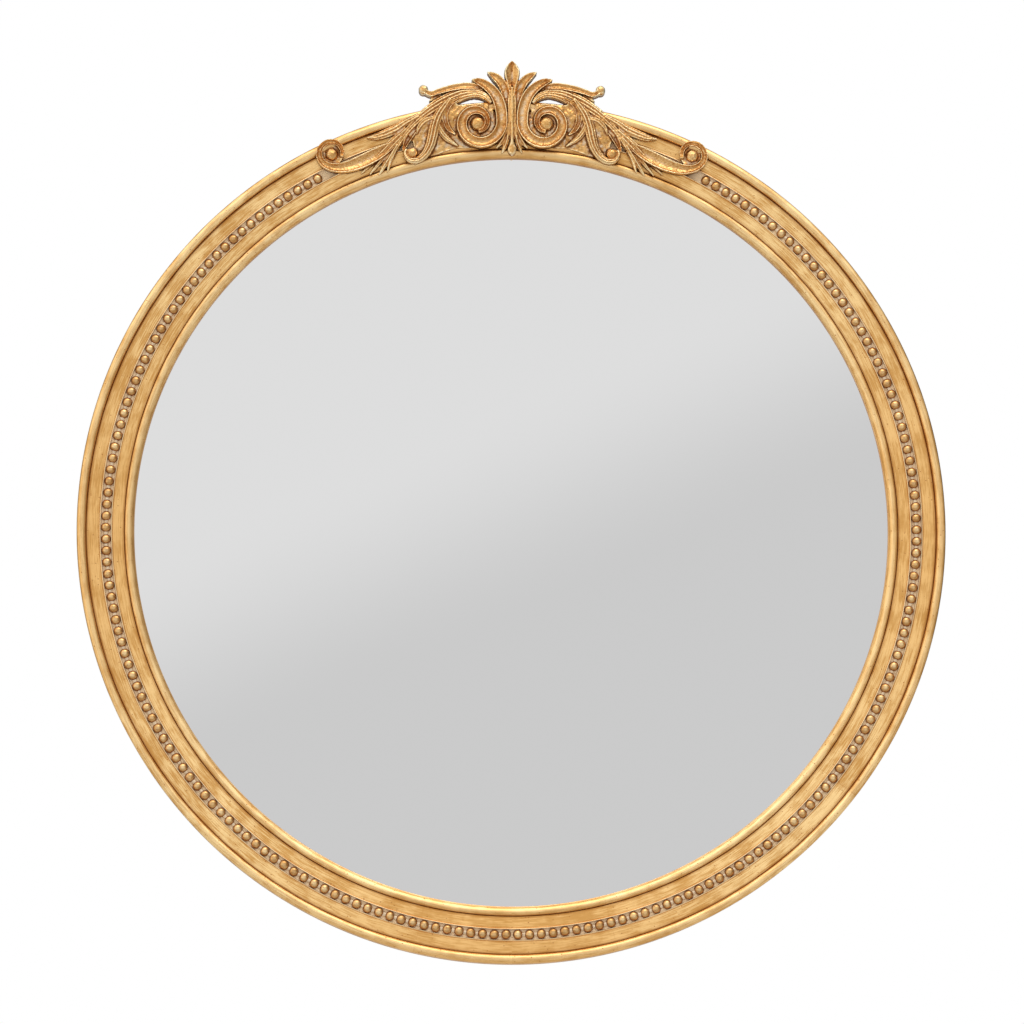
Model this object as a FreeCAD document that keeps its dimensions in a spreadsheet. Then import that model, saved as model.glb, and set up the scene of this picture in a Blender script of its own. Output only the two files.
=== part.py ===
import FreeCAD, Part
import Sketcher
import math
import os
import re
from FreeCAD import Vector

# Round gilt wall mirror: a beaded, moulded ring with a pierced leaf-and-volute crest, a flat silvered
# glass, its packing and backboard held by offset clips, and two strap hangers with swinging D-rings.
# Origin: centre of the ring on the wall plane. +Z is up, the glass faces -Y, and the wall is at Y = 0.
# "Height" below means distance in front of the ring's flat back.

doc = FreeCAD.newDocument("RoundMirror")
sheet = doc.addObject("Spreadsheet::Sheet", "Sizes")

SIZES = (
    # moulded ring, from the rim inwards
    ("ring_radius", 381.0, "outer radius of the moulded ring"),
    ("rim_width", 7.8, "half-round bead along the outer edge"),
    ("outer_field", 12.0, "plain band between rim and pearl channel"),
    ("fillet_width", 0.9, "sharp ridge at each edge of the pearl channel"),
    ("channel_width", 9.4, "channel that the pearls lie in"),
    ("inner_field", 10.6, "plain band between pearl channel and sight lip"),
    ("lip_width", 8.4, "half-round lip round the glass"),
    ("face_height", 18.2, "outer field where it meets the pearl channel"),
    ("field_rise", 1.0, "how far the outer field climbs towards the rim"),
    ("rim_shoulder", 2.7, "where the rim's curve springs, above the face"),
    ("rim_crown", 2.8, "how far the rim's curve rises above its shoulder"),
    ("fillet_rise", 0.7, "height of the channel ridges above the face"),
    ("channel_depth", 1.8, "channel floor below the face"),
    ("inner_step", 0.4, "inner field below the outer field"),
    ("inner_fall", 1.2, "how far the inner field falls towards the glass"),
    ("lip_sink", 0.6, "quirk between inner field and lip"),
    ("lip_drop", 2.2, "inner edge of the lip below its outer edge"),
    ("lip_crown", 3.2, "how far the lip's curve rises above its edges"),
    ("rebate_depth", 11.5, "depth of the rebate that holds the glass"),
    ("rebate_lap", 8.0, "how far the lip covers the glass edge"),
    # pearls
    ("pearl_radius", 4.5, "radius of one pearl"),
    ("pearl_height", 4.3, "height of one pearl above its channel"),
    ("pearl_step", 10.25, "distance from pearl to pearl"),
    ("pearl_clear", 6.0, "from the end of the crest to the first pearl"),
    # glass and what backs it
    ("rebate_gap", 1.5, "clearance round the glass in its rebate"),
    ("glass_thickness", 4.0, "silvered glass"),
    ("packing_thickness", 1.5, "soft sheet that keeps the board off the silvering"),
    ("board_thickness", 3.0, "backboard"),
    ("clip_thickness", 1.2, "sheet of the offset clips"),
    ("clip_width", 14.0, "width of an offset clip"),
    ("clip_foot", 19.0, "length of a clip on the ring"),
    ("clip_tongue", 14.0, "length of a clip on the backboard"),
    ("clip_gap", 0.5, "clip leg to rebate wall"),
    ("clip_count", 6, "offset clips round the ring"),
    # wall side
    ("stand_off", 6.0, "ring back to wall, which is the bumpers' height"),
    ("bumper_radius", 8.0, "foot radius of a rubber bumper"),
    ("bumper_taper", 1.2, "bumper radius lost from ring to wall"),
    ("bumper_inset", 12.0, "bumper centre inside the ring's edge"),
    # strap hangers
    ("hanger_inset", 18.89, "hinge line's middle inside the ring's edge"),
    ("hanger_turn", 17.685, "degrees of the hinge line above the mirror's centre"),
    ("strap_sheet", 1.2, "sheet that a strap is folded from"),
    ("strap_width", 14.0, "strap width"),
    ("strap_length", 44.0, "strap length below its hinge line"),
    ("strap_hole_first", 24.0, "upper strap screw below the hinge line"),
    ("strap_hole_gap", 13.0, "distance between a strap's two screws"),
    ("wire_radius", 1.5, "wire of a D-ring"),
    ("hinge_gap", 0.1, "running gap of a D-ring's bar in its strap"),
    ("d_ring_side", 1.0, "gap from a strap's edge to a D-ring's leg"),
    ("d_ring_length", 17.0, "hinge line to the middle of a D-ring's bow"),
    ("d_ring_rest", 4.5, "degrees that a hanging D-ring leans off its strap"),
    # wood screws
    ("screw_radius", 1.7, "shank of the screws"),
    ("screw_head", 3.6, "head radius"),
    ("screw_head_height", 1.9, "head height"),
    ("screw_length", 9.0, "length below the head in clips and straps"),
    ("crest_screw_bite", 5.0, "crest screw above the face of the ring"),
    # crest castings
    ("crest_reach", 36.0, "tip of the crest's leaf above the ring's edge"),
    ("crest_half_span", 182.0, "from the top of the ring to either end of the crest, along its edge"),
    ("volute_share", 0.1236, "first turn of a volute, as a share of the crest's half span"),
    ("eye_share", 0.0385, "radius of a volute's eye, as a share of the crest's half span"),
    ("crest_relief", 3.3, "main relief of the castings above the top of the rim"),
    ("crest_depth", 15.0, "thickness of the castings where they stand free of the ring"),
    ("crest_bedding", 0.1, "glue line between castings and ring"),
)
for row, (alias, value, note) in enumerate(SIZES, 1):
    sheet.set("A%d" % row, note)
    sheet.set("B%d" % row, str(value))
    sheet.setAlias("B%d" % row, alias)
doc.recompute()
NAMES = {alias for alias, value, note in SIZES}


def size(expression):
    """The number that an expression of sheet names comes to."""
    return float(sheet.evalExpression(expression))


def linked(expression):
    """The same expression with each sheet name as a reference to its cell."""
    return re.sub(r"[a-z_]+", lambda word: "Sizes." * (word.group() in NAMES) + word.group(), expression)


ROUND_FACES = 3     # flats that stand for each half-round of the moulding
PEARL_SIDES = 4     # sides of a pearl
HINGE_SIDES = 12    # sides of a strap's rolled loop and its bore
HOLE_SIDES = 6      # sides of a screw's clearance hole and of its shank
HEAD_SIDES = 8      # sides of a screw's head
BUTTON_SIDES = 8    # sides of a scroll's eye
BUTTON_TOP = 0.72   # flat top of a screw's head or a scroll's eye, as a share of its radius
BUTTON_DOME = 0.3   # height of an eye's rounded part, as a share of its radius
BED_STEP = 6.0      # degrees of the ring in one flat of the castings' undersides
BED_HALF = 36.0     # degrees of the ring that the castings' underside covers either way from the top
BED_CORNER = 0.25   # corner drawn off the underside over the rim, as a share of the rim's width
CRUMB = 0.12        # share of a casting's largest solid below which a cut-off piece is dropped
THINNEST = 0.25     # least half width of a leaf or scroll band

# Sums of the sizes above, written once as expressions.
CHANNEL_OUT = "(ring_radius - rim_width - outer_field - fillet_width)"
CHANNEL_IN = "(ring_radius - rim_width - outer_field - fillet_width - channel_width)"
PEARL_LINE = "(ring_radius - rim_width - outer_field - fillet_width - channel_width / 2)"
LIP_OUT = "(ring_radius - rim_width - outer_field - 2 * fillet_width - channel_width - inner_field)"
SIGHT = "(ring_radius - rim_width - outer_field - 2 * fillet_width - channel_width - inner_field - lip_width)"
REBATE = "(" + SIGHT + " + rebate_lap)"
CHANNEL_FLOOR = "(face_height - channel_depth)"
INNER_FACE = "(face_height - inner_step)"
LIP_FOOT = "(face_height - inner_step - inner_fall)"
RIM_FOOT = "(face_height + field_rise)"
RIM_TOP = "(face_height + rim_shoulder + rim_crown)"
BOARD_BACK = "(rebate_depth - glass_thickness - packing_thickness - board_thickness)"
STRAP_THICKNESS = "(2 * strap_sheet)"
LOOP_RADIUS = "(wire_radius + hinge_gap + strap_sheet)"
STRAP_HOLES = ("strap_hole_first", "strap_hole_first + strap_hole_gap")


# ---------------------------------------------------------------- sketches, bodies and copies

def new_body(label):
    body = doc.addObject("PartDesign::Body", label)
    body.Label = label
    return body


def origin_plane(body, role):
    return [plane for plane in body.Origin.OriginFeatures if plane.Role == role][0]


def new_sketch(body, role, name):
    sketch = body.newObject("Sketcher::SketchObject", name)
    sketch.AttachmentSupport = [(origin_plane(body, role), "")]
    sketch.MapMode = "FlatFace"
    return sketch


def pin_point(sketch, geometry, corner, x_text, y_text):
    """Ties one sketch point to two expressions of the sheet, measured from the sketch's origin."""
    for kind, text, axis in (("DistanceX", x_text, -2), ("DistanceY", y_text, -1)):
        value = size(text)
        if abs(value) < 1e-9:
            sketch.addConstraint(Sketcher.Constraint("PointOnObject", geometry, corner, axis))
            continue
        if value > 0:
            index = sketch.addConstraint(Sketcher.Constraint(kind, -1, 1, geometry, corner, value))
            sketch.setExpression("Constraints[%d]" % index, linked(text))
        else:
            index = sketch.addConstraint(Sketcher.Constraint(kind, geometry, corner, -1, 1, -value))
            sketch.setExpression("Constraints[%d]" % index, linked("-(" + text + ")"))


def bound_outline(sketch, corners):
    """A closed outline of straight edges whose corners are pairs of expressions."""
    places = [Vector(size(x), size(y), 0) for x, y in corners]
    edges = [sketch.addGeometry(Part.LineSegment(start, end), False)
             for start, end in zip(places, places[1:] + places[:1])]
    for index, edge in enumerate(edges):
        following = edges[(index + 1) % len(edges)]
        sketch.addConstraint(Sketcher.Constraint("Coincident", edge, 2, following, 1))
        pin_point(sketch, edge, 1, *corners[index])


def bound_polygon(sketch, radius, x_text, y_text, sides):
    """A regular polygon drawn round a circle of that radius."""
    corners = []
    for side in range(sides):
        turn = 2 * math.pi * (side + 0.5) / sides
        reach = 1 / math.cos(math.pi / sides)
        corners.append(("%s + %.6f * (%s)" % (x_text, reach * math.cos(turn), radius),
                        "%s + %.6f * (%s)" % (y_text, reach * math.sin(turn), radius)))
    bound_outline(sketch, corners)


def half_round(radius, height, width, drop, crown, faces):
    """Corners of a rounded bead from its outer edge inwards, its inner edge lower by drop."""
    corners = []
    highest = math.sin(math.pi * (faces // 2) / faces)
    for step in range(faces + 1):
        share = (1 - math.cos(math.pi * step / faces)) / 2
        rise = math.sin(math.pi * step / faces) / highest
        corners.append(("%s - %.6f * %s" % (radius, share, width),
                        "%s - %.6f * %s + %.6f * %s" % (height, share, drop, rise, crown)))
    return corners


def bound_circle(sketch, radius, x_text="0", y_text="0"):
    centre = Vector(size(x_text), size(y_text), 0)
    geometry = sketch.addGeometry(Part.Circle(centre, Vector(0, 0, 1), size(radius)), False)
    index = sketch.addConstraint(Sketcher.Constraint("Radius", geometry, size(radius)))
    sketch.setExpression("Constraints[%d]" % index, linked(radius))
    pin_point(sketch, geometry, 3, x_text, y_text)


def pad(body, sketch, length, midplane=False):
    feature = body.newObject("PartDesign::Pad", "Pad")
    feature.Profile = sketch
    feature.setExpression("Length", linked(length))
    feature.Midplane = midplane
    body.Tip = feature
    return feature


def on_back(body, height):
    """Stands a body's zero plane at a height in front of the ring's back."""
    body.setExpression("Placement.Base.y", linked("-(stand_off + " + height + ")"))


def feature_from(label, shape):
    feature = doc.addObject("Part::Feature", label)
    feature.Label = label
    feature.Shape = shape
    return feature


def moved(shape, angle, place):
    """A copy turned about Y by angle degrees, then put at place."""
    copy = shape.copy()
    copy.Placement = FreeCAD.Placement(place, FreeCAD.Rotation(Vector(0, 1, 0), angle)) * copy.Placement
    return copy


def polar(radius, degrees):
    """A point on the ring's back, degrees counted from +X towards +Z."""
    turn = math.radians(degrees)
    return Vector(radius * math.cos(turn), -size("stand_off"), radius * math.sin(turn))


# ---------------------------------------------------------------- moulded ring

def make_frame_ring():
    """The moulding's section, turned about the mirror's axis."""
    body = new_body("frame_ring")
    section = new_sketch(body, "XY_Plane", "MouldingSection")
    corners = [("ring_radius", "0")]
    corners += half_round("ring_radius", "face_height + rim_shoulder", "rim_width", "0", "rim_crown",
                          ROUND_FACES)
    corners += [
        ("ring_radius - rim_width", RIM_FOOT),
        ("ring_radius - rim_width - outer_field", "face_height"),
        (CHANNEL_OUT, "face_height + fillet_rise"),
        (CHANNEL_OUT, CHANNEL_FLOOR),
        (CHANNEL_IN, CHANNEL_FLOOR),
        (CHANNEL_IN, "face_height + fillet_rise"),
        (CHANNEL_IN + " - fillet_width", INNER_FACE),
        (LIP_OUT, LIP_FOOT),
    ]
    corners += half_round(LIP_OUT, LIP_FOOT + " - lip_sink", "lip_width", "lip_drop", "lip_crown",
                          ROUND_FACES)
    corners += [(SIGHT, "rebate_depth"), (REBATE, "rebate_depth"), (REBATE, "0")]
    bound_outline(section, corners)
    doc.recompute()
    turned = body.newObject("PartDesign::Revolution", "Turned")
    turned.Profile = section
    turned.ReferenceAxis = (section, ["V_Axis"])
    turned.Angle = 360
    body.Tip = turned
    body.Placement.Rotation = FreeCAD.Rotation(Vector(0, 0, 1), 180)
    on_back(body, "0")
    return body


# ---------------------------------------------------------------- pearls

def dome(radius, foot, crown, sides, waist=0.78, waist_height=0.62):
    """A faceted button standing on the plane foot along -Y, its middle tier drawn in."""
    def tier(share, height):
        turns = [2 * math.pi * side / sides for side in range(sides)]
        return [Vector(radius * share * math.cos(turn), -height, radius * share * math.sin(turn))
                for turn in turns]
    low = tier(1.0, foot)
    middle = tier(waist, foot + (crown - foot) * waist_height)
    top = Vector(0, -crown, 0)
    faces = [polygon(low)]
    for side in range(sides):
        after = (side + 1) % sides
        faces.append(polygon([low[side], low[after], middle[after], middle[side]]))
        faces.append(polygon([middle[side], middle[after], top]))
    return closed(faces)


def polygon(points):
    return Part.Face(Part.makePolygon(points + [points[0]]))


def closed(faces):
    """One solid from faces that share their edges."""
    skin = Part.makeCompound(faces)
    skin.sewShape()
    solid = Part.Solid(skin.Shells[0])
    if solid.Volume < 0:
        solid.reverse()
    return solid


def make_pearls(label, side):
    """One side's string of pearls, from the crest's end scroll down to the bottom of the ring."""
    line = size(PEARL_LINE)
    step = size("pearl_step") / line
    first = size("(crest_half_span + pearl_clear) / ring_radius")
    count = int((math.pi - step / 2 - first) / step) + 1
    pearl = dome(size("pearl_radius"), 0, size("pearl_height"), PEARL_SIDES)
    depth = -size("stand_off + " + CHANNEL_FLOOR)
    copies = []
    for index in range(count):
        turn = math.pi - step * (index + 0.5)
        place = Vector(side * line * math.sin(turn), depth, line * math.cos(turn))
        copies.append(moved(pearl, side * math.degrees(turn) - 90, place))
    return feature_from(label, Part.makeCompound(copies))


# ---------------------------------------------------------------- glass, packing and backboard

def make_disc(label, thickness, height):
    """A round sheet in the rebate, its back face at a height in front of the ring's back."""
    body = new_body(label)
    outline = new_sketch(body, "XZ_Plane", label + "_outline")
    bound_circle(outline, REBATE + " - rebate_gap")
    pad(body, outline, thickness)
    on_back(body, height)
    return body


def make_clips():
    """Offset clips: a foot screwed to the ring, a leg down the rebate and a tongue on the backboard."""
    master = new_body("clip_master")
    side_view = new_sketch(master, "XY_Plane", "ClipSide")
    leg = REBATE + " - clip_gap"
    reach = BOARD_BACK
    bound_outline(side_view, [
        (leg + " + clip_foot", "-clip_thickness"),
        (leg + " + clip_foot", "0"),
        (leg, "0"),
        (leg, reach),
        (leg + " - clip_tongue", reach),
        (leg + " - clip_tongue", reach + " - clip_thickness"),
        (leg + " - clip_thickness", reach + " - clip_thickness"),
        (leg + " - clip_thickness", "-clip_thickness"),
    ])
    pad(master, side_view, "clip_width", True)
    hole_view = new_sketch(master, "XZ_Plane", "ClipHole")
    bound_polygon(hole_view, "screw_radius + hinge_gap", leg + " + clip_foot / 2", "0", HOLE_SIDES)
    pocket = master.newObject("PartDesign::Pocket", "Hole")
    pocket.Profile = hole_view
    pocket.Type = "ThroughAll"
    pocket.Midplane = True
    master.Tip = pocket
    doc.recompute()
    flip = FreeCAD.Placement(Vector(0, 0, 0), FreeCAD.Rotation(Vector(0, 0, 1), 180))
    clip = master.Shape.copy()
    clip.Placement = flip
    base = Vector(0, -size("stand_off"), 0)
    copies = [moved(clip, turn, base) for turn in clip_turns()]
    return feature_from("retainer_clips", Part.makeCompound(copies))


def clip_turns():
    count = int(round(size("clip_count")))
    return [360.0 * index / count for index in range(count)]


# ---------------------------------------------------------------- fasteners, bumpers

def wood_screw(length):
    """A pan-head wood screw: head from Y = 0 towards the wall, faceted shank towards the front."""
    head = dome(size("screw_head"), 0, size("screw_head_height"), HEAD_SIDES, BUTTON_TOP, 0.7)
    head.rotate(Vector(0, 0, 0), Vector(0, 0, 1), 180)
    radius = size("screw_radius")
    turns = [2 * math.pi * (side + 0.5) / HOLE_SIDES for side in range(HOLE_SIDES)]
    shank = polygon([Vector(radius * math.cos(turn), 0, radius * math.sin(turn)) for turn in turns])
    return head.fuse(shank.extrude(Vector(0, -length, 0))).removeSplitter()


def screws_at(label, places, length):
    """The same wood screw at each place of its head's seat."""
    screw = wood_screw(length)
    return feature_from(label, Part.makeCompound([moved(screw, 0, place) for place in places]))


def make_clip_screws():
    middle = size(REBATE + " - clip_gap + clip_foot / 2")
    seat = Vector(0, size("clip_thickness"), 0)
    places = [polar(middle, turn) + seat for turn in clip_turns()]
    return screws_at("clip_screws", places, size("screw_length"))


def make_bumpers():
    """Four rubber bumpers between ring and wall."""
    height = size("stand_off")
    foot = size("bumper_radius")
    turns = [2 * math.pi * side / 12 for side in range(12)]
    rounds = [[Vector(radius * math.cos(turn), depth, radius * math.sin(turn)) for turn in turns]
              for radius, depth in ((foot, 0), (foot - size("bumper_taper"), height))]
    stud = Part.makeLoft([Part.makePolygon(row + row[:1]) for row in rounds], True, True)
    line = size("ring_radius - bumper_inset")
    places = [polar(line, 45 + 90 * quarter) for quarter in range(4)]
    return feature_from("wall_bumpers", Part.makeCompound([moved(stud, 0, place) for place in places]))


# ---------------------------------------------------------------- strap hangers and D-rings

def make_strap():
    """A strip folded double, with a rolled loop for the D-ring's bar at its top and two screw holes."""
    master = new_body("strap_master")
    side_view = new_sketch(master, "YZ_Plane", "StrapSide")
    corners = [(STRAP_THICKNESS, "-strap_length"), ("0", "-strap_length")]
    reach = 1 / math.cos(math.pi / HINGE_SIDES)
    for side in range(HINGE_SIDES - 3):
        turn = math.pi * (1 - (2 * side - 1) / HINGE_SIDES)
        corners.append(("%s * %.6f" % (LOOP_RADIUS, 1 + reach * math.cos(turn)),
                        "%s * %.6f" % (LOOP_RADIUS, reach * math.sin(turn))))
    corners.append((STRAP_THICKNESS, "-" + LOOP_RADIUS))
    bound_outline(side_view, corners)
    bound_polygon(side_view, "wire_radius + hinge_gap", LOOP_RADIUS, "0", HINGE_SIDES)
    pad(master, side_view, "strap_width", True)
    hole_view = new_sketch(master, "XZ_Plane", "StrapHoles")
    for depth in STRAP_HOLES:
        bound_polygon(hole_view, "screw_radius + hinge_gap", "0", "-(" + depth + ")", HOLE_SIDES)
    pocket = master.newObject("PartDesign::Pocket", "Holes")
    pocket.Profile = hole_view
    pocket.Type = "ThroughAll"
    pocket.Midplane = True
    master.Tip = pocket
    doc.recompute()
    return master.Shape


def mitred_ring(points, radius, sides):
    """A closed loop of wire with mitred corners, from the corners of its centre line in the XZ plane."""
    rings = []
    for index, here in enumerate(points):
        before = (here - points[index - 1]).normalize()
        after = (points[(index + 1) % len(points)] - here).normalize()
        across = Vector(-(before + after).z, 0, (before + after).x).normalize()
        stretch = 1 / across.dot(Vector(-before.z, 0, before.x))
        turns = [2 * math.pi * (side + 0.5) / sides for side in range(sides)]
        rings.append([here + across * (radius * stretch * math.cos(turn))
                      + Vector(0, radius * math.sin(turn), 0) for turn in turns])
    faces = []
    for index, ring in enumerate(rings):
        following = rings[(index + 1) % len(rings)]
        for side in range(sides):
            after = (side + 1) % sides
            faces.append(polygon([ring[side], ring[after], following[after], following[side]]))
    return closed(faces)


def make_d_ring(label, side):
    """The bar runs in the strap's loop, and the bow hangs from it."""
    wire = size("wire_radius")
    half = size("strap_width / 2 + d_ring_side + wire_radius")
    bow = size("d_ring_length")
    spring = bow - half
    arc = [Vector(half * math.cos(turn), 0, -spring - half * math.sin(turn))
           for turn in [math.pi * step / 8 for step in range(9)]]
    corners = [Vector(-half, 0, 0), Vector(half, 0, 0)] + arc
    ring = mitred_ring(corners, wire, 8)
    ring.rotate(Vector(0, 0, 0), Vector(1, 0, 0), size("d_ring_rest"))
    feature = feature_from(label, ring)
    feature.Placement.Base = hinge_place(side) + Vector(0, size(LOOP_RADIUS), 0)
    return feature


def hinge_place(side):
    """The middle of a hinge line, on the ring's back."""
    place = polar(size("ring_radius - hanger_inset"), size("hanger_turn"))
    return Vector(side * place.x, place.y, place.z)


def make_hangers():
    strap = make_strap()
    places = [hinge_place(side) for side in (-1, 1)]
    feature_from("hanger_straps", Part.makeCompound([moved(strap, 0, place) for place in places]))
    holes = [Vector(0, size(STRAP_THICKNESS), -size(depth)) for depth in STRAP_HOLES]
    screws_at("hanger_screws", [place + hole for place in places for hole in holes], size("screw_length"))
    make_d_ring("d_ring_left", -1)
    make_d_ring("d_ring_right", 1)


# ---------------------------------------------------------------- crest castings

# The castings are drawn on a grid: GRID_ALONG squares from the top of the ring to either end of the crest,
# GRID_OUT squares from the ring's edge to the tip, and GRID_DEEP squares from the ring's back to the relief.
GRID_ALONG = 182
GRID_OUT = 36
GRID_DEEP = 27
VOLUTE_CENTRE = (32.0, -19.0)
PALMETTE_SCREW = -14.0
FACE = size(RIM_TOP + " + crest_relief")
BACK = FACE - size("crest_depth")
RING = size("ring_radius")
SQUARE_ALONG = size("crest_half_span") / GRID_ALONG
SQUARE_OUT = size("crest_reach") / GRID_OUT
SQUARE_DEEP = FACE / GRID_DEEP


def on_rim(along, out):
    """The point a number of squares along the rim from the top and out from the ring's edge."""
    radius = RING + out * SQUARE_OUT
    turn = along * SQUARE_ALONG / RING
    return Vector(radius * math.sin(turn), 0, radius * math.cos(turn))


def smooth(values, steps):
    """Rows of numbers joined by a smooth curve, with steps between each row and the next."""
    rows = []
    for index in range(len(values) - 1):
        a = values[max(index - 1, 0)]
        b = values[index]
        c = values[index + 1]
        d = values[min(index + 2, len(values) - 1)]
        for step in range(steps):
            u = step / steps
            rows.append([0.5 * (2 * q + (r - p) * u + (2 * p - 5 * q + 4 * r - t) * u * u
                                + (3 * q - p - 3 * r + t) * u ** 3) for p, q, r, t in zip(a, b, c, d)])
    return rows + [list(values[-1])]


def strand(stations, edge, centre, side=1, steps=1):
    """A moulded leaf or scroll band. Each station is (along, out, half width); edge and centre are pairs
    of relief at its first and last station, above or below the main relief of the castings."""
    rows = smooth(stations, steps)
    sections = []
    for index, (along, out, half) in enumerate(rows):
        before = rows[max(index - 1, 0)]
        after = rows[min(index + 1, len(rows) - 1)]
        heading = math.atan2(after[1] - before[1], after[0] - before[0])
        half = max(half, THINNEST)
        across = -half * math.sin(heading)
        rise = half * math.cos(heading)
        share = index / (len(rows) - 1)
        rim_height = FACE + SQUARE_DEEP * (edge[0] + (edge[1] - edge[0]) * share)
        mid_height = FACE + SQUARE_DEEP * (centre[0] + (centre[1] - centre[0]) * share)
        left = on_rim(side * (along + across), out + rise)
        right = on_rim(side * (along - across), out - rise)
        here = (left + right) * 0.5
        sections.append([left - Vector(0, BACK, 0), left - Vector(0, rim_height, 0),
                         here - Vector(0, mid_height, 0), right - Vector(0, rim_height, 0),
                         right - Vector(0, BACK, 0)])
    faces = [polygon(sections[0]), polygon(sections[-1])]
    for near, far in zip(sections, sections[1:]):
        faces.append(polygon([near[0], far[0], far[1], near[1]]))
        faces.append(polygon([near[3], far[3], far[4], near[4]]))
        faces.append(polygon([near[4], far[4], far[0], near[0]]))
        for low, high in ((1, 2), (2, 3)):
            faces.append(polygon([near[low], far[low], far[high]]))
            faces.append(polygon([near[low], far[high], near[high]]))
    return closed(faces)


def button(along, out, radius, relief, side):
    """The round eye of a scroll."""
    turns = [2 * math.pi * step / BUTTON_SIDES for step in range(BUTTON_SIDES)]
    rounds = []
    shoulder = FACE + SQUARE_DEEP * (relief - BUTTON_DOME * radius)
    for share, height in ((1.0, BACK), (1.0, shoulder), (BUTTON_TOP, FACE + SQUARE_DEEP * relief)):
        reach = radius * share
        rounds.append([on_rim(side * (along + reach * math.cos(turn)), out + reach * math.sin(turn))
                       - Vector(0, height, 0) for turn in turns])
    faces = [polygon(rounds[0]), polygon(rounds[-1])]
    for low, high in zip(rounds, rounds[1:]):
        for step in range(BUTTON_SIDES):
            after = (step + 1) % BUTTON_SIDES
            faces.append(polygon([low[step], low[after], high[after]]))
            faces.append(polygon([low[step], high[after], high[step]]))
    return closed(faces)


def web(outer, inner, side):
    """The thin ground between the ornaments: a strip whose two edges are rows of (along, out, relief)."""
    sections = []
    for row in zip(outer, inner):
        places = [on_rim(side * along, out) for along, out, relief in row]
        heights = [FACE + SQUARE_DEEP * relief for along, out, relief in row]
        tops = [place - Vector(0, height, 0) for place, height in zip(places, heights)]
        feet = [place - Vector(0, BACK, 0) for place in places]
        sections.append([feet[0], tops[0], tops[1], feet[1]])
    faces = [polygon(sections[0]), polygon(sections[-1])]
    for near, far in zip(sections, sections[1:]):
        for low in range(4):
            high = (low + 1) % 4
            faces.append(polygon([near[low], far[low], far[high]]))
            faces.append(polygon([near[low], far[high], near[high]]))
    return closed(faces)


def volute_stations(lead, radii, widths):
    """Lead-in stations, then a spiral about the eye with its radius and half width at each quarter turn."""
    turns = smooth([[radius, width] for radius, width in zip(radii, widths)], 3)
    spiral = []
    for index, (radius, width) in enumerate(turns):
        turn = math.pi + math.radians(90 * index / 3)
        spiral.append((VOLUTE_CENTRE[0] + radius * math.cos(turn),
                       VOLUTE_CENTRE[1] + radius * math.sin(turn), width))
    return lead + spiral


def crest_bed():
    """What the castings are coped over: the ring's top drawn in flats that clear every curve of it."""
    clear = size("crest_bedding")
    rim = size("rim_width")
    edge = size("ring_radius") + clear
    shoulder = size("face_height + rim_shoulder") + clear
    top = size(RIM_TOP) + clear
    inner = size("ring_radius - rim_width") - clear
    lip_top = size(LIP_FOOT + " - lip_sink - 0.3 * lip_drop + lip_crown") + clear
    outwards = 1 / math.cos(math.radians(BED_STEP / 2))
    corners = [
        (edge * outwards, 0),
        (edge * outwards, shoulder),
        ((edge - BED_CORNER * rim) * outwards, top),
        (inner + BED_CORNER * rim, top),
        (inner, shoulder),
        (inner, size(RIM_FOOT) + clear),
        (size("ring_radius - rim_width - outer_field"), size("face_height + fillet_rise") + clear),
        (size(LIP_OUT) + 0.2 * size("inner_field"), size(INNER_FACE) + clear),
        (size(LIP_OUT), lip_top),
        (size(SIGHT), lip_top),
        (size(SIGHT), 0),
    ]
    sections = []
    for index in range(int(2 * BED_HALF / BED_STEP) + 1):
        turn = math.radians(BED_STEP * index - BED_HALF)
        sections.append([Vector(radius * math.sin(turn), -height, radius * math.cos(turn))
                         for radius, height in corners])
    faces = [polygon(sections[0]), polygon(sections[-1])]
    for near, far in zip(sections, sections[1:]):
        for index in range(len(corners)):
            after = (index + 1) % len(corners)
            faces.append(polygon([near[index], near[after], far[after], far[index]]))
    return closed(faces)


def main_solids(shape):
    """Drops the crumbs that a cut leaves."""
    solids = sorted(shape.Solids, key=lambda solid: solid.Volume, reverse=True)
    kept = [solid for solid in solids if solid.Volume > CRUMB * solids[0].Volume]
    return kept[0] if len(kept) == 1 else Part.makeCompound(kept)


def casting(pieces, cutters):
    shape = pieces[0].multiFuse(pieces[1:]) if len(pieces) > 1 else pieces[0]
    return main_solids(shape.cut(cutters))


def on_ring(shape):
    """Castings are drawn with their heights from Y = 0, and stand on the ring's back plane."""
    return moved(shape, 0, Vector(0, -size("stand_off"), 0))


def palmette_pieces():
    leaf = strand([(0, 36, 0.4), (0, 32, 4.4), (0, 26.5, 6.8), (0, 20.5, 6.0), (0, 13, 3.6), (0, 6, 2.2)],
                  (-0.5, 0.5), (-3.2, 0.5))
    spine = strand([(0, 10, 1.8), (0, -8, 2.6), (0, -30, 2.6), (0, -37, 2.0), (0, -42.5, 3.8),
                    (0, -46.5, 3.0), (0, -49, 0.5)], (0.0, -1.5), (1.5, 0.5))
    pieces = [leaf, spine]
    for side in (-1, 1):
        pieces.append(strand([(20.5, 26.5, 0.4), (14.5, 22.3, 3.4), (9.4, 16.5, 4.2), (6.0, 8, 3.8),
                              (4.4, -2, 2.8), (3.6, -13, 2.0), (4.0, -24, 1.4)],
                             (-1.0, -1.0), (-3.0, -2.0), side))
        pieces.append(strand([(2.6, -19, 1.6), (6.0, -28, 2.6), (10.0, -35.5, 3.0), (15.5, -42, 0.4)],
                             (-2.0, -4.0), (-0.5, -4.0), side))
        pieces.append(strand([(2.0, -28, 1.6), (4.8, -35, 2.2), (7.2, -41, 2.2), (10.5, -46.5, 0.4)],
                             (-2.0, -5.0), (-0.5, -5.0), side))
    return pieces


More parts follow.
